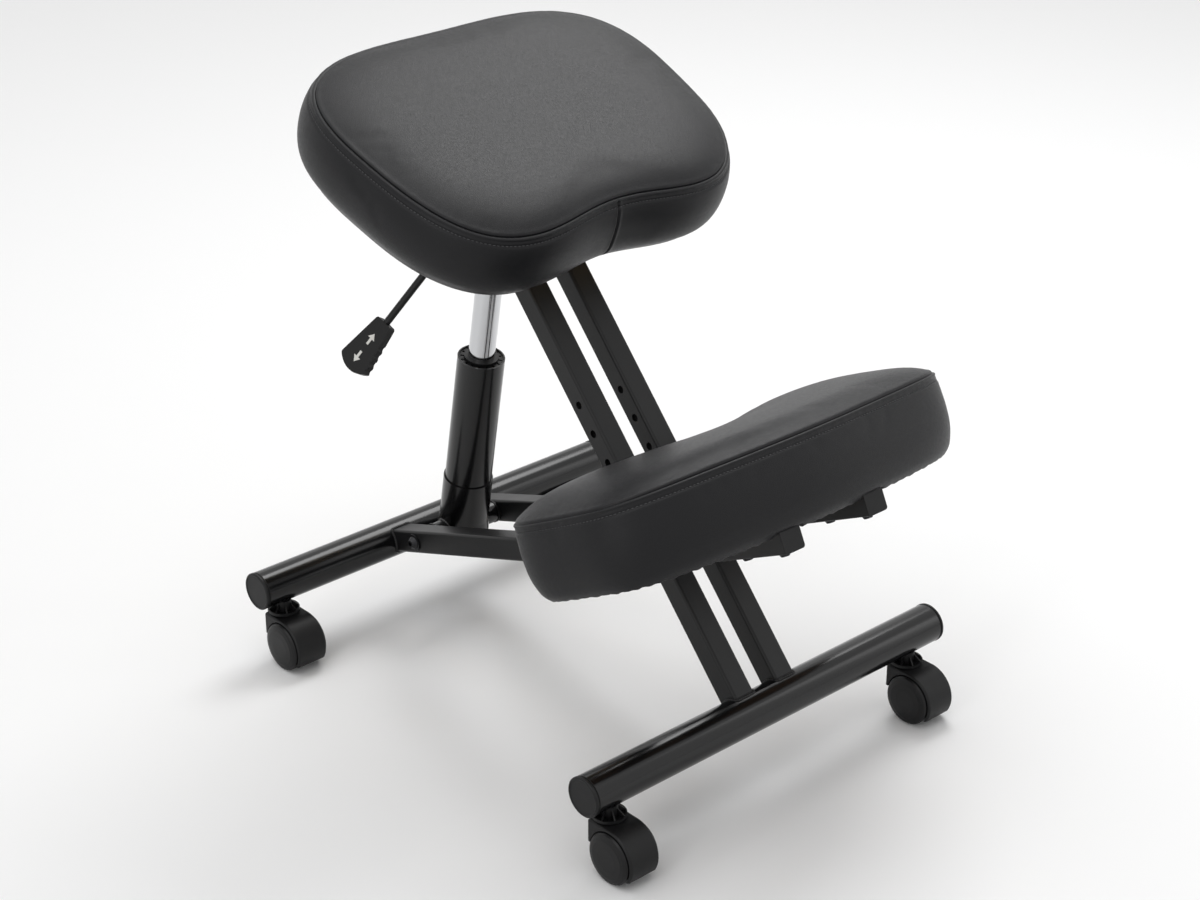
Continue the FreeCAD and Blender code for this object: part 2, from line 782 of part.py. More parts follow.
def lever_paddle():
    """Tapered moulded grip with a bowed end and finger ripples along one edge."""
    narrow = paddle_narrow / 2
    wide = paddle_wide / 2
    side = paddle_length - paddle_end_bulge
    corners = [V(0, -narrow, 0), V(side, -wide, 0), V(paddle_length, 0, 0), V(side, wide, 0),
               V(0, narrow, 0)]
    edges = [Part.LineSegment(corners[0], corners[1]).toShape(),
             Part.Arc(corners[1], corners[2], corners[3]).toShape(),
             Part.LineSegment(corners[3], corners[4]).toShape(),
             Part.LineSegment(corners[4], corners[0]).toShape()]
    plate = Part.Face(Part.Wire(edges)).extrude(UP * paddle_thickness)
    plate.translate(-UP * (paddle_thickness / 2))
    upright = [edge for edge in plate.Edges if abs(edge.tangentAt(edge.FirstParameter).z) > 0.99]
    plate = plate.makeFillet(paddle_round, upright)
    for step in range(ripple_count):
        along = ripple_start + step * ripple_pitch
        edge = -(narrow + (wide - narrow) * along / side)
        scoop = rod(2 * ripple_radius, V(along, edge - ripple_radius + ripple_depth, -paddle_thickness),
                    V(along, edge - ripple_radius + ripple_depth, paddle_thickness))
        plate = plate.cut(scoop)
    plate = plate.cut(rod(lever_rod_diameter + 2 * seat_gap, V(0, 0, 0), V(lever_grip_depth + 0.5, 0, 0)))
    turn = FreeCAD.Rotation(V(0, 1, 0), 180 - lever_droop)
    return put(plate, FreeCAD.Placement(grip_start, turn))


# Cushions and boards
def signed_power(value, power):
    return math.copysign(abs(value) ** (2.0 / power), value)


def outline_point(form, angle):
    """Point of a cushion's seam in plan: a superellipse, narrower in front, with soft dips."""
    c = math.cos(angle)
    back = -form["half_depth"] * signed_power(c, form["power_s"])
    width = form["half_width"] * (1 + form["taper"] * back / form["half_depth"])
    x = width * signed_power(math.sin(angle), form["power_x"])
    front = 0.5 * (1 + math.tanh(c / 0.25))
    back += form["front_dip"] * math.exp(-(x / form["front_dip_width"]) ** 2) * front
    back -= form["rear_dip"] * math.exp(-(x / form["rear_dip_width"]) ** 2) * (1 - front)
    return V(x, back, 0)


def outline_angles(form):
    """Angles that space the outline's points evenly along its length."""
    fine = 1440
    points = [outline_point(form, 2 * math.pi * (i + 0.5) / fine) for i in range(fine)]
    travelled = [0.0]
    for i in range(fine):
        travelled.append(travelled[-1] + (points[(i + 1) % fine] - points[i]).Length)
    angles = []
    target = 0
    for i in range(fine):
        while target < 2 * outline_arcs and travelled[i + 1] > travelled[-1] * target / (2 * outline_arcs):
            angles.append(2 * math.pi * (i + 0.5) / fine)
            target += 1
    return angles


def offset_outline(form, angles, outward):
    """The outline's points moved square to it, outwards or inwards."""
    result = []
    step = 0.002
    for angle in angles:
        point = outline_point(form, angle)
        tangent = (outline_point(form, angle + step) - outline_point(form, angle - step)).normalize()
        result.append(point + tangent.cross(UP) * outward)
    return result


def closed_wire(points):
    """Closed loop of arcs, each through three points that follow each other."""
    edges = []
    count = len(points)
    for i in range(0, count, 2):
        ends = (points[i], points[i + 1], points[(i + 2) % count])
        edges.append(Part.Arc(*ends).toShape())
    return Part.Wire(edges)


def seam_height(form, point):
    """How far the seam lies below the cushion's plane at a point."""
    lobe = math.exp(-((point.y + form["half_depth"]) / front_fall_reach) ** 2)
    ends = form["end_fall"] * (point.x / form["half_width"]) ** 4
    return ends + form["front_fall"] * (point.x / front_fall_at) ** 2 * lobe


def cushion(form):
    """Crowned closed form with drawn-in sides and a pocket for its board."""
    angles = outline_angles(form)
    top = form["height"] - form["below_board"]
    bulge = form["bulge"]
    draw = form["draw_in"]
    side = [(-draw, 1.0), (-0.6 * draw, 0.95), (0.7 * bulge - 0.3 * draw, 0.8), (bulge, form["bulge_at"]),
            (0.9 * bulge, 0.28), (0.5 * bulge, 0.1), (0.0, 0.0)]
    rings = []
    seam = offset_outline(form, angles, 0.0)
    for outward, share in side:
        ring = offset_outline(form, angles, outward)
        for point, mark in zip(ring, seam):
            point.z = top - share * form["height"] - seam_height(form, mark) * (1 - share)
        rings.append(closed_wire(ring))
    for scale in crown_rings:
        ring = []
        for mark in seam:
            rise = form["crown"] * (1 - scale ** form["crown_power"])
            fall = seam_height(form, mark) * scale ** form["crown_power"]
            ring.append(V(mark.x * scale, mark.y * scale, top + rise - fall))
        rings.append(closed_wire(ring))
    level = top + form["crown"]
    rings.append(closed_wire([V(mark.x * flat_ring, mark.y * flat_ring, level) for mark in seam]))
    body = Part.makeLoft(rings, True, True)
    pocket = board(form, board_inset - face_gap, -form["below_board"] - 1, board_thickness + face_gap)
    return body.cut(pocket)


def board(form, inset, low, high):
    """Flat plate of the cushion's outline, set in from the seam."""
    ring = offset_outline(form, outline_angles(form), -inset)
    for point in ring:
        point.z = low
    return Part.Face(closed_wire(ring)).extrude(UP * (high - low))


def bolted_board(form, places):
    plate = board(form, board_inset, 0, board_thickness)
    for place in places:
        hole = small_bolt_diameter + 2 * seat_gap
        plate = plate.cut(rod(hole, place - UP, place + UP * (small_bolt_grip + small_hole_past_bolt)))
    return plate


def knee_places_local():
    inverse = knee_place.inverse()
    places = []
    for place in knee_screw_places():
        local = inverse.multVec(place)
        places.append(V(local.x, local.y, 0))
    return places


def notched_knee_cushion():
    """The knee pad's rim is notched where the two rails pass under it."""
    pad = cushion(knee_cushion)
    for side in (-1, 1):
        half = bar_size / 2 + face_gap
        rail = block(side * arm_x - half, side * arm_x + half, -2 * rail_length, 2 * rail_length,
                     -bar_size, face_gap)
        pad = pad.cut(rail)
    return pad


# Casters, in a frame on the floor under the stem, trailing forwards
def wheel(side):
    """Twin-caster wheel: domed outer face, crowned tread and a recessed inner face."""
    inner = wheel_inner_face
    outer = wheel_outer_face
    r = wheel_radius
    bore = axle_diameter / 2 + running_fit
    bore_end = axle_half_length + face_gap
    hub = bore + wheel_hub_wall
    floor = inner + wheel_recess
    rim = inner + wheel_rim_inset
    tread = rim + wheel_tread_edge
    outline = [(inner, bore), (inner, hub), (floor, hub + wheel_draft), (floor, r - wheel_rim - wheel_draft),
               (rim, r - wheel_rim), (rim, r - wheel_tread_edge / 2), (tread, r), (outer - wheel_edge, r),
               (outer - wheel_edge * 0.55, r - wheel_edge * 0.3),
               (outer - wheel_edge * 0.3, r - wheel_edge * 0.85), (outer - wheel_dome, r - wheel_edge * 1.75),
               (outer, r - wheel_edge * 3.5), (outer, 0), (bore_end, 0), (bore_end, bore)]
    axle = V(0, -caster_trail, axle_height)
    points = []
    for out, radius in outline:
        points.append(axle + LATERAL * (side * out) + UP * radius)
    return revolved(points, axle, LATERAL)


def caster_hood():
    """Moulded hood over both wheels, with the middle web, the stem boss and a ribbed dish on top."""
    axle = V(0, -caster_trail, axle_height)
    back = hood_back
    outline = [(-caster_trail, hood_front_edge), (-caster_trail, hood_top), (back - hood_corner, hood_top),
               (back, hood_top - hood_corner), (back, hood_back_edge),
               (stem_boss_diameter / 2, hood_front_edge)]
    rear = side_plate(outline, -hood_half_width, hood_half_width)
    drum = cross_hole(axle, 2 * hood_radius, hood_half_width)
    shell = joined([drum, rear])
    rims = [edge for edge in shell.Edges if abs(abs(edge.CenterOfMass.x) - hood_half_width) < 0.01]
    shell = shell.makeFillet(hood_round, rims)
    ground = block(-hood_radius, hood_radius, -2 * hood_radius - caster_trail, 2 * hood_radius,
                   -hood_radius, hood_front_edge)
    shell = shell.cut(ground)
    space = wheel_radius + hood_clearance
    for side in (-1, 1):
        reach = wheel_outer_face + 1
        start = axle + LATERAL * (side * web_half_width)
        room = rod(2 * space, start, axle + LATERAL * (side * reach))
        below = block(min(side * web_half_width, side * reach), max(side * web_half_width, side * reach),
                      -caster_trail, back + 1, 0, hood_back_edge)
        shell = shell.cut(room).cut(below)
    boss = rod(stem_boss_diameter, V(0, 0, stem_bottom - stem_boss_below), V(0, 0, dish_bottom))
    dish_top = dish_bottom + dish_thickness
    dish = rod(dish_diameter, V(0, 0, dish_bottom), V(0, 0, dish_top))
    dish = dish.cut(rod(dish_diameter - 2 * dish_rim, V(0, 0, dish_top - dish_depth), V(0, 0, dish_top)))
    neck_top = caster_height - face_gap
    neck = rod(neck_diameter, V(0, 0, dish_bottom), V(0, 0, neck_top))
    foot = rod(neck_diameter, V(0, 0, hood_top - 1), V(0, 0, dish_bottom))
    pieces = [shell, boss, dish, neck, foot]
    for step in range(dish_rib_count):
        half = dish_rib_thickness / 2
        tip = (dish_diameter - dish_rim) / 2
        root = neck_diameter / 2 - 1
        rib = side_plate([(root, dish_bottom + 1), (tip, dish_bottom + 1), (tip, dish_top),
                          (root, neck_top - dish_rib_drop)], -half, half)
        rib.rotate(V(0, 0, 0), UP, 360 * (step + 0.5) / dish_rib_count)
        pieces.append(rib)
    hood = joined(pieces)
    hood = hood.cut(rod(stem_diameter + 2 * seat_gap, V(0, 0, stem_bottom), V(0, 0, neck_top + 1)))
    return hood.cut(cross_hole(axle, axle_diameter + 2 * seat_gap, hood_half_width))


def caster_pins():
    """Steel stem and axle."""
    axle = V(0, -caster_trail, axle_height)
    top = caster_height + stem_above_tube
    shoulder = V(0, 0, top - stem_nose)
    stem = rod(stem_diameter, V(0, 0, stem_bottom), shoulder)
    nose = Part.makeCone(stem_diameter / 2, stem_diameter / 2 - stem_nose, stem_nose, shoulder)
    groove_low = V(0, 0, top - stem_groove_below_top)
    groove = pipe(stem_diameter + 1, stem_diameter - 2 * stem_groove_depth, groove_low,
                  groove_low + UP * stem_groove_width)
    stem = joined([stem, nose]).cut(groove)
    shaft = cross_hole(axle, axle_diameter, axle_half_length)
    return Part.makeCompound([stem, shaft])


def caster_places():
    places = {}
    for row, axis in (("front", front_axis), ("rear", rear_axis)):
        for name, side in (("left", -1), ("right", 1)):
            places[row + "_" + name] = V(side * (half_base - caster_inset), axis.y, 0)
    return places


def build_parts():
    """Every node of the chair, by name."""
    parts = {}
    parts["front_tube"] = base_tube(front_axis)
    parts["rear_tube"] = base_tube(rear_axis)
    parts["front_stem_sockets"] = stem_sockets(front_axis)
    parts["rear_stem_sockets"] = stem_sockets(rear_axis)
    for name, side in (("left", -1), ("right", 1)):
        parts["front_cap_" + name] = end_cap(front_axis, side)
        parts["rear_cap_" + name] = end_cap(rear_axis, side)
        parts["beam_" + name] = beam(side)
        parts["arm_" + name] = arm(side)
    parts["beam_spacers"] = beam_spacers()
    parts["rail_plugs"] = rail_plugs()

    parts["frame_pivot_bolt"] = pivot_bolt(frame_pivot, arm_outer)
    parts["column_pivot_bolt"] = pivot_bolt(column_pivot, arm_outer)
    parts["frame_nuts"] = Part.makeCompound([lock_nut(frame_pivot, arm_outer),
                                             lock_nut(column_pivot, arm_outer)])
    parts["frame_washers"] = Part.makeCompound(washers(frame_pivot, arm_outer)
                                               + washers(column_pivot, arm_outer))
    parts["beam_washers"] = beam_washers()
    bracket_grip = bracket_wall_x() + bracket_sheet
    parts["seat_pivot_bolt"] = pivot_bolt(seat_pivot, bracket_grip)
    parts["seat_pivot_nut"] = Part.makeCompound([lock_nut(seat_pivot, bracket_grip)]
                                                + washers(seat_pivot, bracket_grip))

    for name, make in (("column_socket", column_socket), ("column_pivot_tube", column_pivot_tube),
                       ("pivot_bushes", pivot_bushes),
                       ("column_tube", column_tube), ("guide_bush", guide_bush),
                       ("piston_rod", piston_rod), ("rod_clip", rod_clip),
                       ("column_buffer", column_buffer), ("chrome_cylinder", chrome_cylinder),
                       ("cylinder_cap", cylinder_cap), ("cylinder_hub", cylinder_hub),
                       ("release_pin", release_pin)):
        parts[name] = put(make(), column_place)

    bolts = [board_bolt(place, bracket_sheet) for place in seat_bolt_places()]
    screws = [board_bolt(place, bar_size) for place in knee_places_local()]
    parts["seat_bracket"] = put(seat_bracket(), seat_place)
    parts["seat_bolts"] = put(Part.makeCompound(bolts), seat_place)
    parts["lever_rod"] = put(lever_rod(), seat_place)
    parts["lever_pivot_pin"] = put(lever_pivot_pin(), seat_place)
    parts["lever_paddle"] = put(lever_paddle(), seat_place)
    parts["seat_board"] = put(bolted_board(seat_cushion, seat_bolt_places()), seat_place)
    parts["seat_cushion"] = put(cushion(seat_cushion), seat_place)
    parts["knee_screws"] = put(Part.makeCompound(screws), knee_place)
    parts["knee_board"] = put(bolted_board(knee_cushion, knee_places_local()), knee_place)
    parts["knee_cushion"] = put(notched_knee_cushion(), knee_place)

    for name, foot in caster_places().items():
        place = FreeCAD.Placement(foot, FreeCAD.Rotation())
        parts["caster_hood_" + name] = put(caster_hood(), place)
        parts["caster_pins_" + name] = put(caster_pins(), place)
        parts["wheel_left_of_" + name] = put(wheel(-1), place)
        parts["wheel_right_of_" + name] = put(wheel(1), place)
    return parts


def centring_shift(parts):
    """Shift that puts the middle of the chair's footprint box at the origin."""
    whole = FreeCAD.BoundBox()
    for shape in parts.values():
        whole.add(shape.optimalBoundingBox(False))
    return V(0, -(whole.YMin + whole.YMax) / 2, 0)


parts = build_parts()
shift = centring_shift(parts)
os.makedirs("parts", exist_ok=True)
solids = 0
for name, shape in parts.items():
    shape.translate(shift)
    shape.exportStep("parts/" + name + ".step")
    solids += len(shape.Solids)
    if not shape.isValid():
        print("not valid:", name)
print(len(parts), "nodes,", solids, "solids, shift", round(shift.y, 3))
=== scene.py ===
# %% [markdown]
# # Dressing a kneeling chair
# The steel frame, the gas column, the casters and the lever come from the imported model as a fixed
# frame, at their real size and in metres. This lesson gives them their finishes, upholsters the two
# cushions, lays the weld beads, and sets up a plain photo studio.

import json
import math

import bpy
import numpy as np
from mathutils import Matrix, Vector


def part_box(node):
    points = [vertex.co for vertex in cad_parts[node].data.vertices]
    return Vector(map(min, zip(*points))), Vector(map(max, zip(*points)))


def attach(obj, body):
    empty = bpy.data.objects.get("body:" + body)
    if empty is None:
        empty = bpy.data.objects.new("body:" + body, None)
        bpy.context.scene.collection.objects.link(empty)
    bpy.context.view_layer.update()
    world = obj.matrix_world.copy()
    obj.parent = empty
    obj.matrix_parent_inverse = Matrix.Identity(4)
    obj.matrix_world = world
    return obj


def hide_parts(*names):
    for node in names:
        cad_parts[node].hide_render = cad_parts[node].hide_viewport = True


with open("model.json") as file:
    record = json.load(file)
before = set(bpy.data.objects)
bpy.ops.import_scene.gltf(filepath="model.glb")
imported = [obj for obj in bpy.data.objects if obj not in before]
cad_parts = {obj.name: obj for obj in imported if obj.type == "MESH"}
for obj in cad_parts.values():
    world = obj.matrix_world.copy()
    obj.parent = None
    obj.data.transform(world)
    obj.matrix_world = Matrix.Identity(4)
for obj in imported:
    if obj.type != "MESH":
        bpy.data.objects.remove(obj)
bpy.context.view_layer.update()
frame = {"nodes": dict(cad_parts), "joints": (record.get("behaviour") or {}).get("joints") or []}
nodes = frame["nodes"]
MM = 0.001


def joint(name):
    """The joint of that name: its place in mm and its axis."""
    found = next(j for j in frame["joints"] if j["name"] == name)
    place = np.array(found.get("pos_m", (0, 0, 0))) / MM
    return place, np.array(found["axis"])


def box_middle(node):
    """Middle of a node's box, in mm."""
    low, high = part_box(node)
    return (np.array(low) + np.array(high)) / 2 / MM


RIGHT = np.array([1.0, 0.0, 0.0])
FRONT_AXIS = box_middle("front_tube")
REAR_AXIS = box_middle("rear_tube")

# %% [markdown]
# The camera comes first. Its angle and lens were worked out from the parallel tubes in the reference
# photograph. It looks at a point on the chair's middle plane, just in front of the middle of the
# wheelbase.

# %% Camera at the photograph's viewing angle
CAMERA_AZIMUTH = -42.087
CAMERA_ELEVATION = 26.197
CAMERA_DISTANCE = 2489.67
CAMERA_LENS = 74.832
TARGET_BEFORE_MIDDLE = 16.978
TARGET_HEIGHT = 276.639


def add_camera():
    """The camera looks against its back axis; right is level, and up is square to both."""
    azimuth = math.radians(CAMERA_AZIMUTH)
    elevation = math.radians(CAMERA_ELEVATION)
    back = np.array([math.sin(azimuth) * math.cos(elevation),
                     -math.cos(azimuth) * math.cos(elevation), math.sin(elevation)])
    right = np.array([math.cos(azimuth), math.sin(azimuth), 0.0])
    middle = (FRONT_AXIS[1] + REAR_AXIS[1]) / 2
    target = np.array([0.0, middle - TARGET_BEFORE_MIDDLE, TARGET_HEIGHT])
    place = (target + back * CAMERA_DISTANCE) * MM
    data = bpy.data.cameras.new("camera")
    data.lens = CAMERA_LENS
    data.sensor_width = 36
    data.clip_start = 0.05
    data.clip_end = 30
    camera = bpy.data.objects.new("camera", data)
    bpy.context.scene.collection.objects.link(camera)
    camera.rotation_mode = "QUATERNION"
    turn = np.column_stack([right, np.cross(back, right), back])
    camera.rotation_quaternion = Matrix(turn.tolist()).to_quaternion()
    camera.location = place.tolist()
    bpy.context.scene.camera = camera
    print("camera at", np.round(place, 4), "m")


add_camera()

# %% [markdown]
# One helper adds a shader node with its settings and its links, and one turns an sRGB hex value into
# the linear colour that a shader needs. Every finish below is made with them. Patterns are sized in
# millimetres on the object's own coordinates, so they keep their size on every piece.

# %% Shader helpers
def linear(hex_colour):
    """sRGB to linear: channels under 0.04045 are divided by 12.92, the others follow a 2.4 power."""
    channels = np.array([int(hex_colour[i:i + 2], 16) for i in (1, 3, 5)]) / 255
    curved = np.where(channels <= 0.04045, channels / 12.92, ((channels + 0.055) / 1.055) ** 2.4)
    return (*curved.tolist(), 1.0)


def add(tree, kind, inputs=None, **settings):
    """Adds a shader node. An input is a number, a colour, or the output it is linked from."""
    node = tree.nodes.new("ShaderNode" + kind)
    for key, value in settings.items():
        setattr(node, key, value)
    for key, value in (inputs or {}).items():
        if isinstance(value, bpy.types.NodeSocket):
            tree.links.new(value, node.inputs[key])
        else:
            node.inputs[key].default_value = value
    return node


def finish_material(name, colour, **sockets):
    """A material with a Principled shader; the sockets' names have underscores for spaces."""
    material = bpy.data.materials.new(name)
    material.use_nodes = True
    shader = material.node_tree.nodes["Principled BSDF"]
    shader.inputs["Base Color"].default_value = linear(colour)
    for key, value in sockets.items():
        shader.inputs[key.replace("_", " ")].default_value = value
    material.diffuse_color = linear(colour)
    return material, material.node_tree, shader


def object_place(tree):
    """Object coordinates in metres from the chair's origin."""
    return add(tree, "TexCoord").outputs["Object"]


def noise(tree, size_mm, detail=2.0):
    """Noise whose blobs are about size_mm across, from 0 to 1."""
    return add(tree, "TexNoise", {"Vector": object_place(tree), "Scale": 1000 / size_mm,
                                  "Detail": detail}).outputs["Fac"]


def ranged(tree, value, low, high):
    """A value from 0 to 1 mapped onto low to high."""
    return add(tree, "MapRange", {"Value": value, "To Min": low, "To Max": high}).outputs["Result"]


def relief(tree, shader, height, depth_mm, strength=1.0):
    """Bump whose height from 0 to 1 stands for depth_mm."""
    node = add(tree, "Bump", {"Height": height, "Strength": strength, "Distance": depth_mm * MM})
    tree.links.new(node.outputs["Normal"], shader.inputs["Normal"])


def uneven(tree, shader, socket, size_mm, low, high):
    """A shader's number that wanders between low and high over patches of size_mm."""
    tree.links.new(ranged(tree, noise(tree, size_mm), low, high), shader.inputs[socket])


# %% [markdown]
# The metal finishes. The round tubes are baked gloss enamel, which flows out almost flat and keeps a
# faint orange peel. The square tubes are powder coated: the powder melts into a satin skin with a
# fine, even grain. The cylinder is ground and then hard chromed, so fine lines run round it.

# %% Finishes of the metal pieces
def gloss_enamel():
    """Baked gloss black enamel: nearly mirror smooth, with a faint orange peel."""
    material, tree, shader = finish_material(
        "gloss_black_enamel", "#070708", Roughness=0.2, Specular_IOR_Level=0.4)
    relief(tree, shader, noise(tree, 2.4, 1.0), 0.012)
    return material


def powder_coat():
    """Satin black powder coat: fine even grain, slightly uneven sheen."""
    material, tree, shader = finish_material(
        "satin_black_powder_coat", "#0d0d0e", Specular_IOR_Level=0.28)
    uneven(tree, shader, "Roughness", 30, 0.36, 0.44)
    relief(tree, shader, noise(tree, 0.7, 2.0), 0.03)
    return material


def zinc_steel():
    """Bright zinc plating with a cloudy passivated film."""
    material, tree, shader = finish_material("zinc_plated_steel", "#b4b7ba", Metallic=1.0)
    uneven(tree, shader, "Roughness", 6, 0.24, 0.36)
    return material


def black_oxide():
    """Black oxide on steel: a thin oiled conversion layer, darker than the steel under it."""
    material, tree, shader = finish_material("black_oxide_steel", "#2b2b2d", Metallic=0.8)
    uneven(tree, shader, "Roughness", 4, 0.3, 0.42)
    return material


def hard_chrome(axis):
    """Ground and chromed steel: fine grinding lines round the cylinder, from noise of the height."""
    material, tree, shader = finish_material("hard_chrome", "#c9cacc", Metallic=1.0, Roughness=0.1)
    along = add(tree, "VectorMath", {0: object_place(tree), 1: axis.tolist()}, operation="DOT_PRODUCT")
    lines = add(tree, "TexNoise", {"W": along.outputs["Value"], "Scale": 1800, "Detail": 3.0},
                noise_dimensions="1D")
    relief(tree, shader, lines.outputs["Fac"], 0.004)
    tree.links.new(ranged(tree, lines.outputs["Fac"], 0.07, 0.15), shader.inputs["Roughness"])
    return material


# %% [markdown]
# The plastics and the boards. Moulded nylon comes out of a spark-eroded mould with a fine matt grain.
# The plywood is birch: light face veneer, and on its edge dark glue lines between plies 1.4 mm thick.

# %% Finishes of the plastic, rubber and wood pieces
def moulded_nylon(name, colour, rough_low, rough_high):
    """Glass-filled nylon from a spark-eroded mould: matt, finely grained."""
    material, tree, shader = finish_material(name, colour, Specular_IOR_Level=0.26)
    uneven(tree, shader, "Roughness", 12, rough_low, rough_high)
    relief(tree, shader, noise(tree, 0.45, 2.0), 0.02)
    return material


def rubber():
    """Moulded black rubber, slightly dusty."""
    material, tree, shader = finish_material("black_rubber", "#18181a")
    uneven(tree, shader, "Roughness", 5, 0.68, 0.82)
    return material


def birch_plywood(name, origin, normal):
    """Birch plywood: plies counted across the board, so its edge shows light wood and dark glue."""
    material, tree, shader = finish_material(name, "#c9a978", Roughness=0.62)
    moved = add(tree, "VectorMath", {0: object_place(tree), 1: (origin * MM).tolist()},
                operation="SUBTRACT").outputs["Vector"]
    across = add(tree, "VectorMath", {0: moved, 1: normal.tolist()}, operation="DOT_PRODUCT")
    ply = add(tree, "Math", {0: across.outputs["Value"], 1: 1 / (1.4 * MM)}, operation="MULTIPLY")
    share = add(tree, "Math", {0: ply.outputs["Value"]}, operation="FRACT")
    ramp = add(tree, "ValToRGB", {"Fac": share.outputs["Value"]})
    ramp.color_ramp.elements[0].color = linear("#7a5836")
    ramp.color_ramp.elements[1].color = linear("#cdae7e")
    ramp.color_ramp.elements[1].position = 0.14
    tree.links.new(ramp.outputs["Color"], shader.inputs["Base Color"])
    relief(tree, shader, noise(tree, 1.2, 3.0), 0.05)
    return material


# %% [markdown]
# The seat's own axes come from the lever's joint, and the knee pad's from the frame's pivot: back,
# normal, and the middle of the board's lower face. Cushions are drawn in these axes, and the boards'
# plies are counted across them.

# %% Axes of the two cushions
LEVER_PIN_OFFSET = np.array([-31.0, 9.5, -14.5])
KNEE_PAD_OFFSET = np.array([0.0, -119.0, 12.5])
RAIL_SLOPE = math.radians(26.2)


def seat_axes():
    """Origin, back and normal of the seat board."""
    pin, back = joint("lever_lift")
    normal = np.cross(RIGHT, back)
    right_off, back_off, normal_off = LEVER_PIN_OFFSET
    return pin - RIGHT * right_off - back * back_off - normal * normal_off, back, normal


def knee_axes():
    """Origin, back and normal of the knee board, which lies on the sloping rails."""
    pivot, _ = joint("frame_fold")
    back = np.array([0.0, math.cos(RAIL_SLOPE), -math.sin(RAIL_SLOPE)])
    normal = np.cross(RIGHT, back)
    return pivot + back * KNEE_PAD_OFFSET[1] + normal * KNEE_PAD_OFFSET[2], back, normal


def placed(points, axes):
    """Points of a cushion's own axes, in mm, moved to the chair's axes, in metres."""
    origin, back, normal = axes
    points = np.asarray(points, dtype=float)
    return (origin + points[..., :1] * RIGHT + points[..., 1:2] * back + points[..., 2:3] * normal) * MM


SEAT_AXES = seat_axes()
KNEE_AXES = knee_axes()
_, COLUMN_AXIS = joint("seat_lift")
print("seat board at", np.round(SEAT_AXES[0], 2), "knee board at", np.round(KNEE_AXES[0], 2))

# %% [markdown]
# Each node of the frame gets its finish. The screws share one black oxide, all mouldings share the
# matt nylon, and the wheels have their own slightly smoother one.

# %% Assign the finishes
ENAMEL = gloss_enamel()
POWDER = powder_coat()
ZINC = zinc_steel()
OXIDE = black_oxide()
CHROME = hard_chrome(COLUMN_AXIS)
NYLON = moulded_nylon("black_nylon", "#0e0e0f", 0.44, 0.54)
WHEEL_NYLON = moulded_nylon("black_wheel_nylon", "#0c0c0d", 0.36, 0.46)
RUBBER = rubber()
SEAT_PLY = birch_plywood("birch_plywood_of_seat", SEAT_AXES[0], SEAT_AXES[2])
KNEE_PLY = birch_plywood("birch_plywood_of_knee_board", KNEE_AXES[0], KNEE_AXES[2])

FINISHES = [
    (ENAMEL, "front_tube rear_tube column_tube column_socket column_pivot_tube"),
    (POWDER, "arm_left arm_right beam_left beam_right seat_bracket cylinder_hub beam_spacers lever_rod"
             " beam_washers"),
    (ZINC, "piston_rod rod_clip release_pin lever_pivot_pin"),
    (OXIDE, "frame_pivot_bolt column_pivot_bolt frame_nuts frame_washers seat_pivot_bolt"
            " seat_pivot_nut seat_bolts knee_screws"),
    (CHROME, "chrome_cylinder"),
    (RUBBER, "column_buffer"),
    (SEAT_PLY, "seat_board"),
    (KNEE_PLY, "knee_board"),
]


def assign_finishes():
    """Puts each finish in its nodes' slots; casters go by name, and the rest is moulded nylon."""
    finish_of = {name: finish for finish, names in FINISHES for name in names.split()}
    for name, node in nodes.items():
        finish = finish_of.get(name, NYLON)
        if name.startswith("wheel_"):
            finish = WHEEL_NYLON
        if name.startswith("caster_pins"):
            finish = ZINC
        node.data.materials.clear()
        node.data.materials.append(finish)
    print("finishes given to", len(nodes), "nodes")


assign_finishes()

# %% [markdown]
# The upholstery is polyurethane faux leather over foam. Its skin has a fine pebbled grain about 1 mm
# across, pressed into a soft coating, with a faint broad unevenness from the foam below.

# %% Faux leather and thread
def faux_leather():
    """Pebbled grain: cell edges of a Voronoi pattern are the creases, and fine noise breaks them up."""
    material, tree, shader = finish_material(
        "black_faux_leather", "#141416", Specular_IOR_Level=0.22)
    place = object_place(tree)
    cells = add(tree, "TexVoronoi", {"Vector": place, "Scale": 1000 / 1.3},
                feature="DISTANCE_TO_EDGE").outputs["Distance"]
    creases = add(tree, "MapRange", {"Value": cells, "From Max": 0.22}).outputs["Result"]
    grain = add(tree, "Math", {0: creases, 1: noise(tree, 0.8, 3.0)}, operation="MULTIPLY")
    relief(tree, shader, grain.outputs["Value"], 0.11)
    uneven(tree, shader, "Roughness", 3.0, 0.32, 0.52)
    return material


def thread():
    """Bonded polyester sewing thread, a little shinier than the cover."""
    material, tree, shader = finish_material("bonded_polyester_thread", "#343436")
    uneven(tree, shader, "Roughness", 1.0, 0.4, 0.6)
    return material


LEATHER = faux_leather()
THREAD = thread()

# %% [markdown]
# A cushion's plan is one closed line: a superellipse that narrows towards the front, with a soft dip
# or lobe in its front and rear edge. The points are spaced evenly along the seam, and more closely
# where an upright seam joins the side band, so that its groove has enough points.

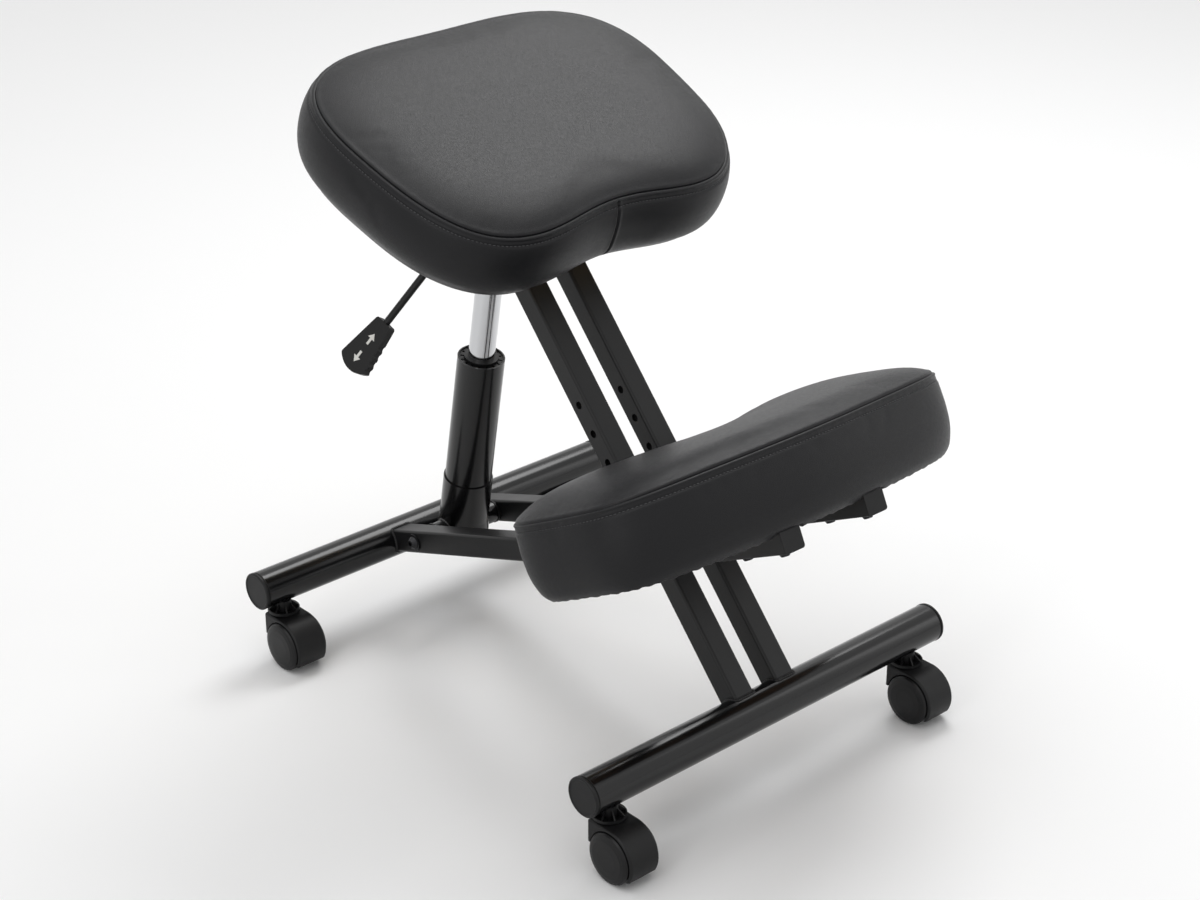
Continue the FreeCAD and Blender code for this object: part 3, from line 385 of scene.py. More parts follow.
# %% Plan of a cushion
SEAT = dict(half_width=197.8, half_depth=159.0, taper=0.069, power_x=3.40, power_s=2.82,
            front_dip=28.1, front_dip_width=97.3, rear_dip=4.24, rear_dip_width=108.5,
            height=78.9, bulge=10.0, bulge_at=0.43, draw_in=7.4, crown=12.0,
            crown_power=7.0, end_fall=0.0, front_fall=5.5, below_board=3.0, stitch_row=9.0,
            side_seam=1.0)
KNEE = dict(half_width=226.5, half_depth=107.0, taper=0.06, power_x=2.8, power_s=4.3,
            front_dip=-6.8, front_dip_width=83.0, rear_dip=80.0, rear_dip_width=134.0,
            height=80.4, bulge=3.4, bulge_at=0.43, draw_in=9.7, crown=15.5,
            crown_power=7.9, end_fall=4.2, front_fall=0.0, below_board=6.0, stitch_row=8.5,
            side_seam=0.0)
BOARD_THICKNESS = 12.0
POCKET_INSET = 16.4
FRONT_FALL_REACH = 60.0
FRONT_FALL_AT = 150.0


def outline(form, angle):
    """Superellipse: each half axis times the signed cosine or sine to the power 2 over p."""
    cosine = np.cos(angle)
    sine = np.sin(angle)
    back = -form["half_depth"] * np.sign(cosine) * np.abs(cosine) ** (2 / form["power_s"])
    width = form["half_width"] * (1 + form["taper"] * back / form["half_depth"])
    across = width * np.sign(sine) * np.abs(sine) ** (2 / form["power_x"])
    front = 0.5 * (1 + np.tanh(cosine / 0.25))
    back = back + form["front_dip"] * np.exp(-(across / form["front_dip_width"]) ** 2) * front
    back = back - form["rear_dip"] * np.exp(-(across / form["rear_dip_width"]) ** 2) * (1 - front)
    return np.stack([across, back], axis=-1)


class Plan:
    """A cushion's closed line, read by its share t of the way round; t 0 is the middle of the right."""

    def __init__(self, form):
        count = 2880
        angles = np.pi / 2 + 2 * np.pi * (np.arange(count + 1) / count)
        points = outline(form, angles)
        steps = np.linalg.norm(np.diff(points, axis=0), axis=1)
        travelled = np.concatenate([[0], np.cumsum(steps)])
        self.length = travelled[-1]
        self.share = travelled / self.length
        self.points = points
        tangents = (np.roll(points[:-1], -1, axis=0) - np.roll(points[:-1], 1, axis=0))
        tangents /= np.linalg.norm(tangents, axis=1, keepdims=True)
        normals = np.stack([tangents[:, 1], -tangents[:, 0]], axis=1)
        outward = np.sign((normals * points[:-1]).sum())
        self.normals = np.vstack([normals, normals[:1]]) * outward
        self.front = self.share[np.argmin(np.abs(points[:, 0]) + 1000 * (points[:, 1] > 0))]

    def read(self, table, t):
        """The table's value at each share t, by straight interpolation between close points."""
        t = np.mod(t, 1.0)
        return np.stack([np.interp(t, self.share, table[:, k]) for k in range(2)], axis=-1)

    def at(self, t):
        return self.read(self.points, t)

    def normal(self, t):
        found = self.read(self.normals, t)
        return found / np.linalg.norm(found, axis=-1, keepdims=True)

    def gathered(self, t, amount, reach=0.012):
        """t drawn towards the front's middle, so that points lie closer together there."""
        off = np.mod(t - self.front + 0.5, 1.0) - 0.5
        pulled = off - amount * reach * np.tanh(off / reach) * (1 - 2 * np.abs(off))
        return self.front + pulled


def fall_of_seam(form, mark):
    """How far the seam lies below the cushion's plane: at the ends, and beside the front dip."""
    lobe = np.exp(-((mark[..., 1] + form["half_depth"]) / FRONT_FALL_REACH) ** 2)
    ends = form["end_fall"] * (mark[..., 0] / form["half_width"]) ** 4
    return ends + form["front_fall"] * (mark[..., 0] / FRONT_FALL_AT) ** 2 * lobe


# %% [markdown]
# The cover is laid out like a flattened cube, so that it has no pole: the top and the underside are
# square grids whose rings follow the seam's shape, and the side band joins them. Ring by ring the top
# rises to its crown, and the band bulges and then draws in under the board.

# %% Layout of a cover
def smooth_through(x, y, at):
    """Cubic Hermite curve through points: slopes are the mean of the two neighbouring chords."""
    slope = np.gradient(y, x)
    i = np.clip(np.searchsorted(x, at, side="right") - 1, 0, len(x) - 2)
    gap = x[i + 1] - x[i]
    s = (at - x[i]) / gap
    return ((2 * s ** 3 - 3 * s ** 2 + 1) * y[i] + (s ** 3 - 2 * s ** 2 + s) * gap * slope[i]
            + (3 * s ** 2 - 2 * s ** 3) * y[i + 1] + (s ** 3 - s ** 2) * gap * slope[i + 1])


def square_rings(half):
    """Ring number and share of the way round for each point of a square grid; 8 r points in ring r."""
    j, i = np.meshgrid(np.arange(-half, half + 1), np.arange(-half, half + 1))
    ring = np.maximum(np.abs(i), np.abs(j))
    size = np.maximum(ring, 1)
    share = np.where((i == ring), j / size, 0.0)
    share = np.where((j == ring) & (i < ring), 2 - i / size, share)
    share = np.where((i == -ring) & (j < ring), 4 - j / size, share)
    share = np.where((j == -ring) & (i > -ring) & (i < ring), 6 + i / size, share)
    return ring, share / 8


def side_profile(form, distance):
    """Outward offset and drop of the side band at a distance below the seam, in mm."""
    bulge = form["bulge"]
    draw = form["draw_in"]
    outward = np.array([0, 0.5 * bulge, 0.9 * bulge, bulge, 0.7 * bulge - 0.3 * draw, -0.6 * draw, -draw])
    drop = np.array([0, 0.1, 0.28, form["bulge_at"], 0.8, 0.95, 1.0]) * form["height"]
    chord = np.concatenate([[0], np.cumsum(np.hypot(np.diff(outward), np.diff(drop)))])
    distance = np.clip(distance, 0, chord[-1])
    return smooth_through(chord, outward, distance), smooth_through(chord, drop, distance), chord[-1]


class Cover:
    """Points of a cover: top grid, side rings, and underside grid, in the cushion's own axes."""

    def __init__(self, form, half, edge_rings, side_steps, gather):
        self.form = form
        self.half = half
        self.plan = Plan(form)
        self.count = 8 * half
        ring, share = square_rings(half)
        share = self.plan.gathered(share, gather)
        around = self.plan.gathered(np.arange(self.count) / self.count, gather)
        self.around = around
        self.top_height = form["height"] - form["below_board"]
        radius = form["half_depth"]
        inner = np.linspace(0, 1 - edge_rings[-1] / radius, half + 1 - (len(edge_rings) - 1))
        self.scale = np.concatenate([inner, 1 - edge_rings[::-1][1:] / radius])
        k = self.scale[ring]
        mark = self.plan.at(share)
        self.top_k = k
        self.top_share = share
        power = k ** form["crown_power"]
        height = self.top_height + form["crown"] * (1 - power) - fall_of_seam(form, mark) * power
        self.top = np.concatenate([mark * k[..., None], height[..., None]], axis=-1)
        self.steps = side_steps
        outward, drop, self.side_length = side_profile(form, side_steps)
        seam = self.plan.at(around)
        normal = self.plan.normal(around)
        self.normal = normal
        fall = fall_of_seam(form, seam)
        plan_xy = seam[None] + outward[:, None, None] * normal[None]
        level = self.top_height - drop[:, None] - fall[None] * (1 - drop[:, None] / form["height"])
        self.side = np.concatenate([plan_xy, level[..., None]], axis=-1)
        self.ring = ring

    def seam_ring(self):
        """Index in the top grid of each point of the outermost ring, in order round the seam."""
        half = self.half
        size = 2 * half + 1
        t = np.arange(self.count)
        side, step = np.divmod(t + half, 2 * half)
        side = side % 4
        offset = step - half
        i = np.select([side == 0, side == 1, side == 2, side == 3], [half, -offset, -half, offset])
        j = np.select([side == 0, side == 1, side == 2, side == 3], [offset, half, -offset, -half])
        return (i + half) * size + (j + half)


def ring_faces(upper, lower):
    """Quads between two closed rings of point numbers, facing outwards."""
    nxt = np.roll(np.arange(len(upper)), -1)
    return np.stack([upper, lower, lower[nxt], upper[nxt]], axis=1)


def grid_faces(size, first, flip):
    """Quads of a square grid whose points are numbered row by row from first."""
    i, j = np.meshgrid(np.arange(size - 1), np.arange(size - 1), indexing="ij")
    a = first + i * size + j
    quads = np.stack([a, a + size, a + size + 1, a + 1], axis=-1).reshape(-1, 4)
    return quads[:, ::-1] if flip else quads


def cover_mesh(cover, top, side, under_level):
    """Closes the cover: top grid, side rings, the turned-in hem, and the pocket over the board."""
    size = 2 * cover.half + 1
    points = [top.reshape(-1, 3)]
    faces = [grid_faces(size, 0, False)]
    upper = cover.seam_ring()
    first = size * size
    for ring in side:
        lower = first + np.arange(cover.count)
        points.append(ring)
        faces.append(ring_faces(upper, lower))
        upper = lower
        first += cover.count
    k = cover.ring / cover.half
    pocket = cover.plan.at(cover.top_share) - POCKET_INSET * cover.plan.normal(cover.top_share)
    under = np.concatenate([pocket * k[..., None], np.full(k.shape + (1,), under_level)], axis=-1)
    points.append(under.reshape(-1, 3))
    faces.append(ring_faces(upper, first + cover.seam_ring()))
    faces.append(grid_faces(size, first, True))
    return np.vstack(points), np.vstack(faces)


# %% [markdown]
# The cover is first made on a coarse grid and blown up a little as cloth. The hem is held where it is
# stapled to the board, and the seam thread is drawn a few percent shorter than the leather, which is
# what gathers it into soft puckers. How each ring departs from its own mean is kept; the mean itself
# stays with the fitted profile, so that the cushion keeps its size. The foam fills the cover tightly
# and lets only a part of each move through, so the leather stays taut.

# %% Cloth simulation of a cover
COARSE_HALF = 26
COARSE_EDGE = np.array([0.0, 6.0, 12.0])
COARSE_STEPS = 16
SETTLE_FRAMES = 20
LARGEST_MOVE = 6.0
FOAM_GIVE = 0.16


def settle(points, faces, held, drawn):
    """Runs the cloth in its own millimetre-sized space and returns how far each point moved, in mm."""
    scene = bpy.context.scene
    mesh = bpy.data.meshes.new("cover_in_cloth")
    mesh.from_pydata((points * MM).tolist(), [], faces.tolist())
    cloth_object = bpy.data.objects.new("cover_in_cloth", mesh)
    scene.collection.objects.link(cloth_object)
    cloth_object.vertex_groups.new(name="held").add(held.tolist(), 1.0, "REPLACE")
    cloth_object.vertex_groups.new(name="drawn").add(drawn.tolist(), 1.0, "REPLACE")
    cloth = cloth_object.modifiers.new("cloth", "CLOTH")
    settings = cloth.settings
    settings.quality = 6
    settings.mass = 0.25
    settings.tension_stiffness = 40
    settings.compression_stiffness = 40
    settings.shear_stiffness = 8
    settings.bending_stiffness = 4.0
    settings.vertex_group_mass = "held"
    settings.use_pressure = True
    settings.uniform_pressure_force = 4
    settings.vertex_group_shrink = "drawn"
    settings.shrink_min = 0.0
    settings.shrink_max = 0.015
    settings.effector_weights.gravity = 0
    cloth.point_cache.frame_start = 1
    cloth.point_cache.frame_end = SETTLE_FRAMES
    for number in range(1, SETTLE_FRAMES + 1):
        scene.frame_set(number)
    settled = cloth_object.evaluated_get(bpy.context.evaluated_depsgraph_get())
    moved = np.empty(len(points) * 3)
    settled.data.vertices.foreach_get("co", moved)
    moved = moved.reshape(-1, 3) / MM - points
    bpy.data.objects.remove(cloth_object)
    bpy.data.meshes.remove(mesh)
    scene.frame_set(1)
    length = np.linalg.norm(moved, axis=1, keepdims=True)
    return FOAM_GIVE * moved * np.minimum(1, LARGEST_MOVE / np.maximum(length, 1e-9))


def unevenness(form):
    """Moves of the coarse cover's top grid and side rings, less the mean of each ring."""
    length = side_profile(form, np.zeros(1))[2]
    steps = np.linspace(0, length, COARSE_STEPS + 1)[1:]
    coarse = Cover(form, COARSE_HALF, COARSE_EDGE, steps, 0.0)
    size = 2 * COARSE_HALF + 1
    points, faces = cover_mesh(coarse, coarse.top, coarse.side, 0.0)
    top_total = size * size
    side_total = len(steps) * coarse.count
    held = np.arange(top_total + side_total - coarse.count, len(points))
    moves = settle(points, faces, held, coarse.seam_ring())
    top = moves[:top_total].reshape(size, size, 3)
    seam = moves[coarse.seam_ring()]
    side = np.concatenate([seam[None], moves[top_total:top_total + side_total].reshape(
        len(steps), coarse.count, 3)])
    ring, share = square_rings(COARSE_HALF)
    outward = coarse.plan.normal(share)
    for number in range(COARSE_HALF + 1):
        here = ring == number
        rise = top[here, 2].mean()
        push = (top[here, :2] * outward[here]).sum(axis=1).mean()
        top[here, 2] -= rise
        top[here, :2] -= push * outward[here]
    for number in range(len(side)):
        push = (side[number, :, :2] * coarse.normal).sum(axis=1).mean()
        side[number, :, :2] -= push * coarse.normal
        side[number, :, 2] -= side[number, :, 2].mean()
    seam_mean = (top.reshape(-1, 3)[coarse.seam_ring()] + side[0]) / 2
    side[0] = seam_mean
    flat = top.reshape(-1, 3)
    flat[coarse.seam_ring()] = seam_mean
    return coarse, flat.reshape(size, size, 3), side


def four_point(values, at, wrap):
    """Catmull-Rom curve along the first axis: four neighbours weighted by cubics of the remainder."""
    base = np.floor(at).astype(int)
    s = (at - base).reshape((-1,) + (1,) * (values.ndim - 1))
    total = len(values)
    picks = [base - 1, base, base + 1, base + 2]
    picks = [p % total for p in picks] if wrap else [np.clip(p, 0, total - 1) for p in picks]
    a, b, c, d = (values[p] for p in picks)
    return 0.5 * (2 * b + (c - a) * s + (2 * a - 5 * b + 4 * c - d) * s ** 2
                  + (3 * b - a - 3 * c + d) * s ** 3)


# %% [markdown]
# The fine cover takes up those moves, and gets what sewing does to leather: a crease along the top
# seam, a rolled welt on each side of it, a shallow valley under the row of stitches, small puckers
# that fade within a centimetre, and on the seat an upright seam in the middle of the front.

# %% Fine cover with its seams
FINE_HALF = 56
EDGE_RINGS = np.array([0, 0.35, 0.75, 1.2, 1.8, 2.6, 3.6, 5.0, 7.0, 9.5, 12.5])
SEAM_STEPS = np.array([0.35, 0.75, 1.2, 1.8, 2.5, 3.3, 4.3, 5.5, 6.8, 7.9, 8.5, 9.1, 9.8, 10.8, 12.2])


def sewn_height(form, distance, arc):
    """Height in mm over the plain surface, from the signed distance to the seam and the way round.
    Each term is a depth times a bell curve of the distance; the puckers are a wave along the seam."""
    row = form["stitch_row"]
    crease = -2.0 * np.exp(-(distance / 0.8) ** 2)
    welts = 1.2 * np.exp(-((distance - 2.4) / 1.3) ** 2) + 0.5 * np.exp(-((distance + 2.6) / 1.9) ** 2)
    valley = -0.9 * np.exp(-((distance - row) / 1.1) ** 2) + 0.2 * np.exp(-((distance - row - 3) / 2) ** 2)
    wave = np.sin(arc / 1.75) * 0.5 + np.sin(arc / 2.9 + 1.3) * 0.3 + np.sin(arc / 6.1 + 0.4) * 0.4
    fade = np.exp(-(distance / 9) ** 2) * (1 - np.exp(-(distance / 2) ** 2))
    return crease + welts + valley + 0.16 * wave * fade


def fine_cover(form, rails):
    """The cover's closed mesh in the cushion's own axes, and the row of points under the stitches."""
    length = side_profile(form, np.zeros(1))[2]
    steps = np.concatenate([SEAM_STEPS, np.linspace(SEAM_STEPS[-1] + 2.5, length, 24)])
    fine = Cover(form, FINE_HALF, EDGE_RINGS, steps, 0.75 * form["side_seam"])
    coarse, top_moves, side_moves = unevenness(form)

    coarse_ring = np.interp(fine.top_k, coarse.scale, np.arange(COARSE_HALF + 1))
    top = fine.top + top_read(top_moves, coarse_ring, fine.top_share)
    place = np.interp(steps, np.concatenate([[0], coarse.steps]), np.arange(len(coarse.steps) + 1))
    carried = four_point(side_moves, place, False)
    carried = four_point(carried.swapaxes(0, 1), np.mod(fine.around, 1) * coarse.count, True)
    side = fine.side + carried.swapaxes(0, 1)

    mark = fine.plan.at(fine.top_share)
    outward = fine.plan.normal(fine.top_share)
    distance = -(1 - fine.top_k) * (mark * outward).sum(axis=-1)
    arc = np.mod(fine.top_share, 1) * fine.plan.length
    rise = sewn_height(form, distance, arc)
    lean = (0.5 * (1 + np.tanh(distance / 1.5)))[..., None]
    top = top + rise[..., None] * direction(outward, lean)

    arc = np.mod(fine.around, 1) * fine.plan.length
    distance = np.broadcast_to(steps[:, None], side.shape[:2])
    rise = sewn_height(form, distance, arc[None])
    if form["side_seam"]:
        across = side[..., 0]
        front = fine.plan.at(fine.around)[None, :, 1] < 0
        fade = np.clip((distance - 1.5) / 2, 0, 1)
        groove = -1.5 * np.exp(-(across / 0.7) ** 2) + 0.6 * np.exp(-((across - 2.2) / 1.4) ** 2)
        rise = rise + np.where(front, groove * fade, 0)
    lean = (0.5 * (1 + np.tanh(distance / 1.5)))[..., None]
    side = side + rise[..., None] * direction(np.broadcast_to(fine.normal, side.shape[:2] + (2,)), lean)
    hem = hem_rings(fine, side[-1], rails)
    points, faces = cover_mesh(fine, top, np.concatenate([side, hem]), BOARD_THICKNESS + 0.2)
    row = int(np.argmin(np.abs(steps - form["stitch_row"])))
    return points, faces, side[row], fine


def direction(outward, lean):
    """Unit vectors that lean from the cushion's normal towards outward."""
    mixed = np.concatenate([outward * lean, 1 - lean], axis=-1)
    return mixed / np.linalg.norm(mixed, axis=-1, keepdims=True)


def top_read(moves, ring_place, share):
    """Reads the coarse top grid at a ring place and a share of the way round, blending four points."""
    half = COARSE_HALF
    octant = np.mod(share * 8 + 1, 8)
    side = (octant // 2).astype(int)
    along = (octant % 2 - 1) * ring_place
    i = np.select([side == 0, side == 1, side == 2, side == 3], [ring_place, -along, -ring_place, along])
    j = np.select([side == 0, side == 1, side == 2, side == 3], [along, ring_place, -along, -ring_place])
    i = np.clip(i + half, 0, 2 * half - 1e-6)
    j = np.clip(j + half, 0, 2 * half - 1e-6)
    i0 = i.astype(int)
    j0 = j.astype(int)
    fi = (i - i0)[..., None]
    fj = (j - j0)[..., None]
    fi = fi * fi * (3 - 2 * fi)
    fj = fj * fj * (3 - 2 * fj)
    return (moves[i0, j0] * (1 - fi) * (1 - fj) + moves[i0 + 1, j0] * fi * (1 - fj)
            + moves[i0, j0 + 1] * (1 - fi) * fj + moves[i0 + 1, j0 + 1] * fi * fj)


HEM = [(1.6, -0.9), (4.0, -1.3), (7.5, -1.3), (8.6, -0.6), (8.8, 2.5)]


def hem_rings(fine, edge, rails):
    """The leather turns in below the board and up into its pocket. It gathers in small pleats, and
    rises over the rails where there are some."""
    form = fine.form
    seam = fine.plan.at(fine.around)
    arc = np.mod(fine.around, 1) * fine.plan.length
    bottom = -form["below_board"]
    last = HEM[-1][0]
    rings = []
    for inward, rise in HEM:
        share = inward / last
        offset = -form["draw_in"] - share * (POCKET_INSET - form["draw_in"])
        xy = seam + offset * fine.normal
        pleat = 0.45 * np.sin(arc / 2.1) + 0.3 * np.sin(arc / 3.7 + 1)
        level = bottom + rise + pleat * math.sin(math.pi * share) + (edge[:, 2] - bottom)
        rings.append(np.concatenate([xy, level[:, None]], axis=1))
    rings = np.array(rings)
    if rails:
        for ring in (edge, *rings):
            off = np.abs(np.abs(ring[:, 0]) - rails[0]) - rails[1]
            clear = 1 / (1 + np.exp(off / 0.8))
            ring[:, 2] = ring[:, 2] * (1 - clear) + np.maximum(ring[:, 2], 0.6) * clear
    return rings


def make_mesh_object(name, points, faces, material, smooth=True):
    """A mesh object at the origin, with its place in its points."""
    mesh = bpy.data.meshes.new(name)
    mesh.from_pydata(np.asarray(points).tolist(), [], [list(map(int, face)) for face in faces])
    mesh.validate()
    mesh.polygons.foreach_set("use_smooth", np.full(len(mesh.polygons), smooth))
    mesh.materials.append(material)
    piece = bpy.data.objects.new(name, mesh)
    bpy.context.scene.collection.objects.link(piece)
    return piece


def upholster(name, form, axes, node, body, rails=None):
    """Makes the cover and its stitches, and lets them ride with their body."""
    points, faces, row, fine = fine_cover(form, rails)
    cover = make_mesh_object(name + "_cover", placed(points, axes), faces, LEATHER)
    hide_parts(node)
    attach(cover, body)
    normal = np.concatenate([fine.normal, np.zeros((len(row), 1))], axis=1)
    stitch_points, stitch_faces = stitches(row, normal)
    sewn = make_mesh_object(name + "_stitches", placed(stitch_points, axes), stitch_faces, THREAD)
    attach(sewn, body)
    print(name, "cover:", len(points), "points,", len(faces), "faces; stitches:", len(stitch_faces), "faces")


# %% [markdown]
# A lockstitch shows as short lengths of thread that dip into their holes at both ends. Each is a small
# closed capsule on the valley's floor, one every 4 mm.

# %% Stitches
STITCH_PITCH = 4.0
STITCH_LENGTH = 3.0
STITCH_RADIUS = 0.5
STITCH_SIDES = 6


def stitches(row, normal):
    """Closed capsules spaced evenly along a closed row of points: five rings, pointed ends."""
    closed = np.vstack([row, row[:1]])
    steps = np.linalg.norm(np.diff(closed, axis=0), axis=1)
    travelled = np.concatenate([[0], np.cumsum(steps)])
    count = int(travelled[-1] / STITCH_PITCH)
    middle = (np.arange(count) + 0.5) * travelled[-1] / count
    outs = np.vstack([normal, normal[:1]])

    def read(table, at):
        at = np.mod(at, travelled[-1])
        return np.stack([np.interp(at, travelled, table[:, k]) for k in range(3)], axis=-1)

    centre = read(closed, middle)
    along = read(closed, middle + 0.5 * STITCH_LENGTH) - read(closed, middle - 0.5 * STITCH_LENGTH)
    along /= np.linalg.norm(along, axis=1, keepdims=True)
    out = read(outs, middle)
    out -= (out * along).sum(axis=1, keepdims=True) * along
    out /= np.linalg.norm(out, axis=1, keepdims=True)
    side = np.cross(along, out)
    turns = np.arange(STITCH_SIDES) * 2 * np.pi / STITCH_SIDES
    rings = [(-0.36, 0.85), (0.0, 1.0), (0.36, 0.85)]
    points = [centre - along * 0.5 * STITCH_LENGTH - out * 0.25]
    for place, size in rings:
        for turn in turns:
            wheel = out * math.cos(turn) + side * math.sin(turn)
            lift = 0.25 - 1.2 * abs(place) ** 2
            points.append(centre + along * place * STITCH_LENGTH + out * lift + wheel * size * STITCH_RADIUS)
    points.append(centre + along * 0.5 * STITCH_LENGTH - out * 0.25)
    stitch = np.stack(points, axis=1)
    per = stitch.shape[1]
    faces = []
    last = 1 + 2 * STITCH_SIDES
    for k in range(STITCH_SIDES):
        n = (k + 1) % STITCH_SIDES
        faces.append((0, 1 + k, 1 + n))
        faces.append((per - 1, last + n, last + k))
        for ring in (0, 1):
            a = 1 + STITCH_SIDES * ring
            faces.append((a + k, a + STITCH_SIDES + k, a + STITCH_SIDES + n, a + n))
    all_faces = [tuple(first * per + v for v in face) for first in range(count) for face in faces]
    return stitch.reshape(-1, 3), all_faces


# %% [markdown]
# The seat cushion is the wide one with the dip in front; the knee pad lies across the two rails, and
# its hem has notches over them.

# %% Upholster the seat and the knee pad
RAIL_MIDDLE = 54.8
RAIL_HALF = 14.5
upholster("seat", SEAT, SEAT_AXES, "seat_cushion", "seat_post")
upholster("knee_pad", KNEE, KNEE_AXES, "knee_cushion", "rear_frame", rails=(RAIL_MIDDLE, RAIL_HALF))

# %% [markdown]
# Where a square tube meets a round one the welder runs one bead round the joint. The path is exact: a
# point of the square's outline, moved along the square tube until it lies on the round one. The bead's
# width swells and shrinks a little with each drop of filler.

# %% Weld beads
SQUARE_HALF = 12.5
SQUARE_CORNER = 3.0
BASE_TUBE_RADIUS = 20.0
CUP_RADIUS = 28.05
CUP_TAPER = 1.5
PIVOT_TUBE_RADIUS = 12.0
HUB_RADIUS = 20
WEB_BELOW_BOARD = 36.0
FOOT_BEAD = 1.9
SMALL_BEAD = 1.6


def bead(path, outward, radius, closed=True):
    """A ring of eight points round each point of the path; the radius follows the drops of filler."""
    path = np.asarray(path)
    if closed:
        tangent = np.roll(path, -1, axis=0) - np.roll(path, 1, axis=0)
    else:
        tangent = np.gradient(path, axis=0)
    tangent /= np.linalg.norm(tangent, axis=1, keepdims=True)
    out = outward - (outward * tangent).sum(axis=1, keepdims=True) * tangent
    out /= np.linalg.norm(out, axis=1, keepdims=True)
    side = np.cross(tangent, out)
    gaps = np.linalg.norm(np.diff(path, axis=0), axis=1)
    arc = np.concatenate([[0], np.cumsum(gaps)])
    size = radius * (1 + 0.13 * np.sin(arc / 0.42) + 0.06 * np.sin(arc / 1.9 + 1))
    if not closed:
        size[[0, -1]] *= 0.35
    turns = np.arange(8) * np.pi / 4
    points = (path[:, None] + size[:, None, None] * (out[:, None] * np.cos(turns)[None, :, None]
                                                    + side[:, None] * np.sin(turns)[None, :, None]))
    count = len(path)
    faces = []
    for i in range(count if closed else count - 1):
        j = (i + 1) % count
        for k in range(8):
            n = (k + 1) % 8
            faces.append((i * 8 + k, j * 8 + k, j * 8 + n, i * 8 + n))
    if not closed:
        faces.append(tuple(range(8)))
        faces.append(tuple(reversed(range((count - 1) * 8, count * 8))))
    return points.reshape(-1, 3), faces


def rounded_square(half, corner, count):
    """Outline of a square tube with rounded corners, evenly spaced."""
    straight = half - corner
    fine = []
    for quarter in range(4):
        turn = quarter * np.pi / 2 + np.linspace(0, np.pi / 2, 9)
        centre = straight * np.sqrt(2) * np.array([np.cos(quarter * np.pi / 2 + np.pi / 4),
                                                   np.sin(quarter * np.pi / 2 + np.pi / 4)])
        fine.append(centre + corner * np.stack([np.cos(turn), np.sin(turn)], axis=1))
    fine = np.vstack(fine)
    closed = np.vstack([fine, fine[:1]])
    arc = np.concatenate([[0], np.cumsum(np.linalg.norm(np.diff(closed, axis=0), axis=1))])
    at = np.arange(count) / count * arc[-1]
    return np.stack([np.interp(at, arc, closed[:, k]) for k in range(2)], axis=1)


def foot_bead(axis, towards, across):
    """Bead round a square tube's foot: distance along it is the root of radius squared less offset
    squared."""
    outline_points = rounded_square(SQUARE_HALF, SQUARE_CORNER, 140)
    along = towards / np.linalg.norm(towards)
    up = np.cross(RIGHT, along)
    reach = np.sqrt(BASE_TUBE_RADIUS ** 2 - outline_points[:, 1] ** 2)
    path = (axis + (across + outline_points[:, :1]) * RIGHT + outline_points[:, 1:] * up
            + reach[:, None] * along)
    outward = outline_points[:, :1] * RIGHT + outline_points[:, 1:] * up + 8 * along
    return bead(path, outward, FOOT_BEAD)


def merged(parts):
    """Several point and face lists as one."""
    points = []
    faces = []
    for part_points, part_faces in parts:
        first = sum(len(p) for p in points)
        points.append(part_points)
        faces.extend(tuple(first + v for v in face) for face in part_faces)
    return np.vstack(points), faces


def socket_beads():
    """Beads round the pivot tube where it leaves the column's flared foot, on both sides."""
    pivot, _ = joint("column_tilt")
    forward = np.cross(RIGHT, COLUMN_AXIS)
    parts = []
    for hand in (-1, 1):
        turn = np.linspace(math.radians(-38), math.radians(218), 90)
        wide = PIVOT_TUBE_RADIUS * np.cos(turn)
        high = PIVOT_TUBE_RADIUS * np.sin(turn)
        radius = CUP_RADIUS - np.maximum(high, 0) / PIVOT_TUBE_RADIUS * CUP_TAPER
        out = np.sqrt(radius ** 2 - wide ** 2)
        path = (pivot + hand * out[:, None] * RIGHT + wide[:, None] * forward + high[:, None] * COLUMN_AXIS)
        outward = wide[:, None] * forward + high[:, None] * COLUMN_AXIS + hand * 8 * RIGHT
        parts.append(bead(path, outward, SMALL_BEAD, closed=False))
    return parts


def hub_bead():
    """Bead round the hub on the bracket's web: the hub's circle, moved along it onto the web's face."""
    origin, _, normal = SEAT_AXES
    pivot, _ = joint("column_tilt")
    forward = np.cross(RIGHT, COLUMN_AXIS)
    turn = np.arange(120) / 120 * 2 * np.pi
    ring = pivot + HUB_RADIUS * (np.cos(turn)[:, None] * RIGHT + np.sin(turn)[:, None] * forward)
    face = origin - WEB_BELOW_BOARD * normal
    travel = ((face - ring) @ normal) / (COLUMN_AXIS @ normal)
    path = ring + travel[:, None] * COLUMN_AXIS
    outward = ring - pivot - 10 * normal
    return bead(path, outward, SMALL_BEAD)


def weld():
    """All beads, each riding with the steel it is laid on."""
    frame_pivot, _ = joint("frame_fold")
    column_pivot, _ = joint("column_tilt")
    beams = [foot_bead(FRONT_AXIS, (frame_pivot - FRONT_AXIS) * [0, 1, 1], box_middle(name)[0])
             for name in ("beam_left", "beam_right")]
    arms = [foot_bead(REAR_AXIS, (column_pivot - REAR_AXIS) * [0, 1, 1], box_middle(name)[0])
            for name in ("arm_left", "arm_right")]
    for name, parts, body, finish in (("beam_welds", beams, "front_frame", POWDER),
                                      ("arm_welds", arms, "rear_frame", POWDER),
                                      ("socket_welds", socket_beads(), "gas_column", ENAMEL),
                                      ("hub_weld", [hub_bead()], "seat_post", POWDER)):
        points, faces = merged(parts)
        piece = make_mesh_object(name, points * MM, faces, finish)
        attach(piece, body)
        print(name, len(faces), "faces")


weld()

# %% [markdown]
# The paddle carries two plain arrows, up and down, pad printed in white ink a tenth of a millimetre
# thick. They lie on its outer face, in line with the rod.

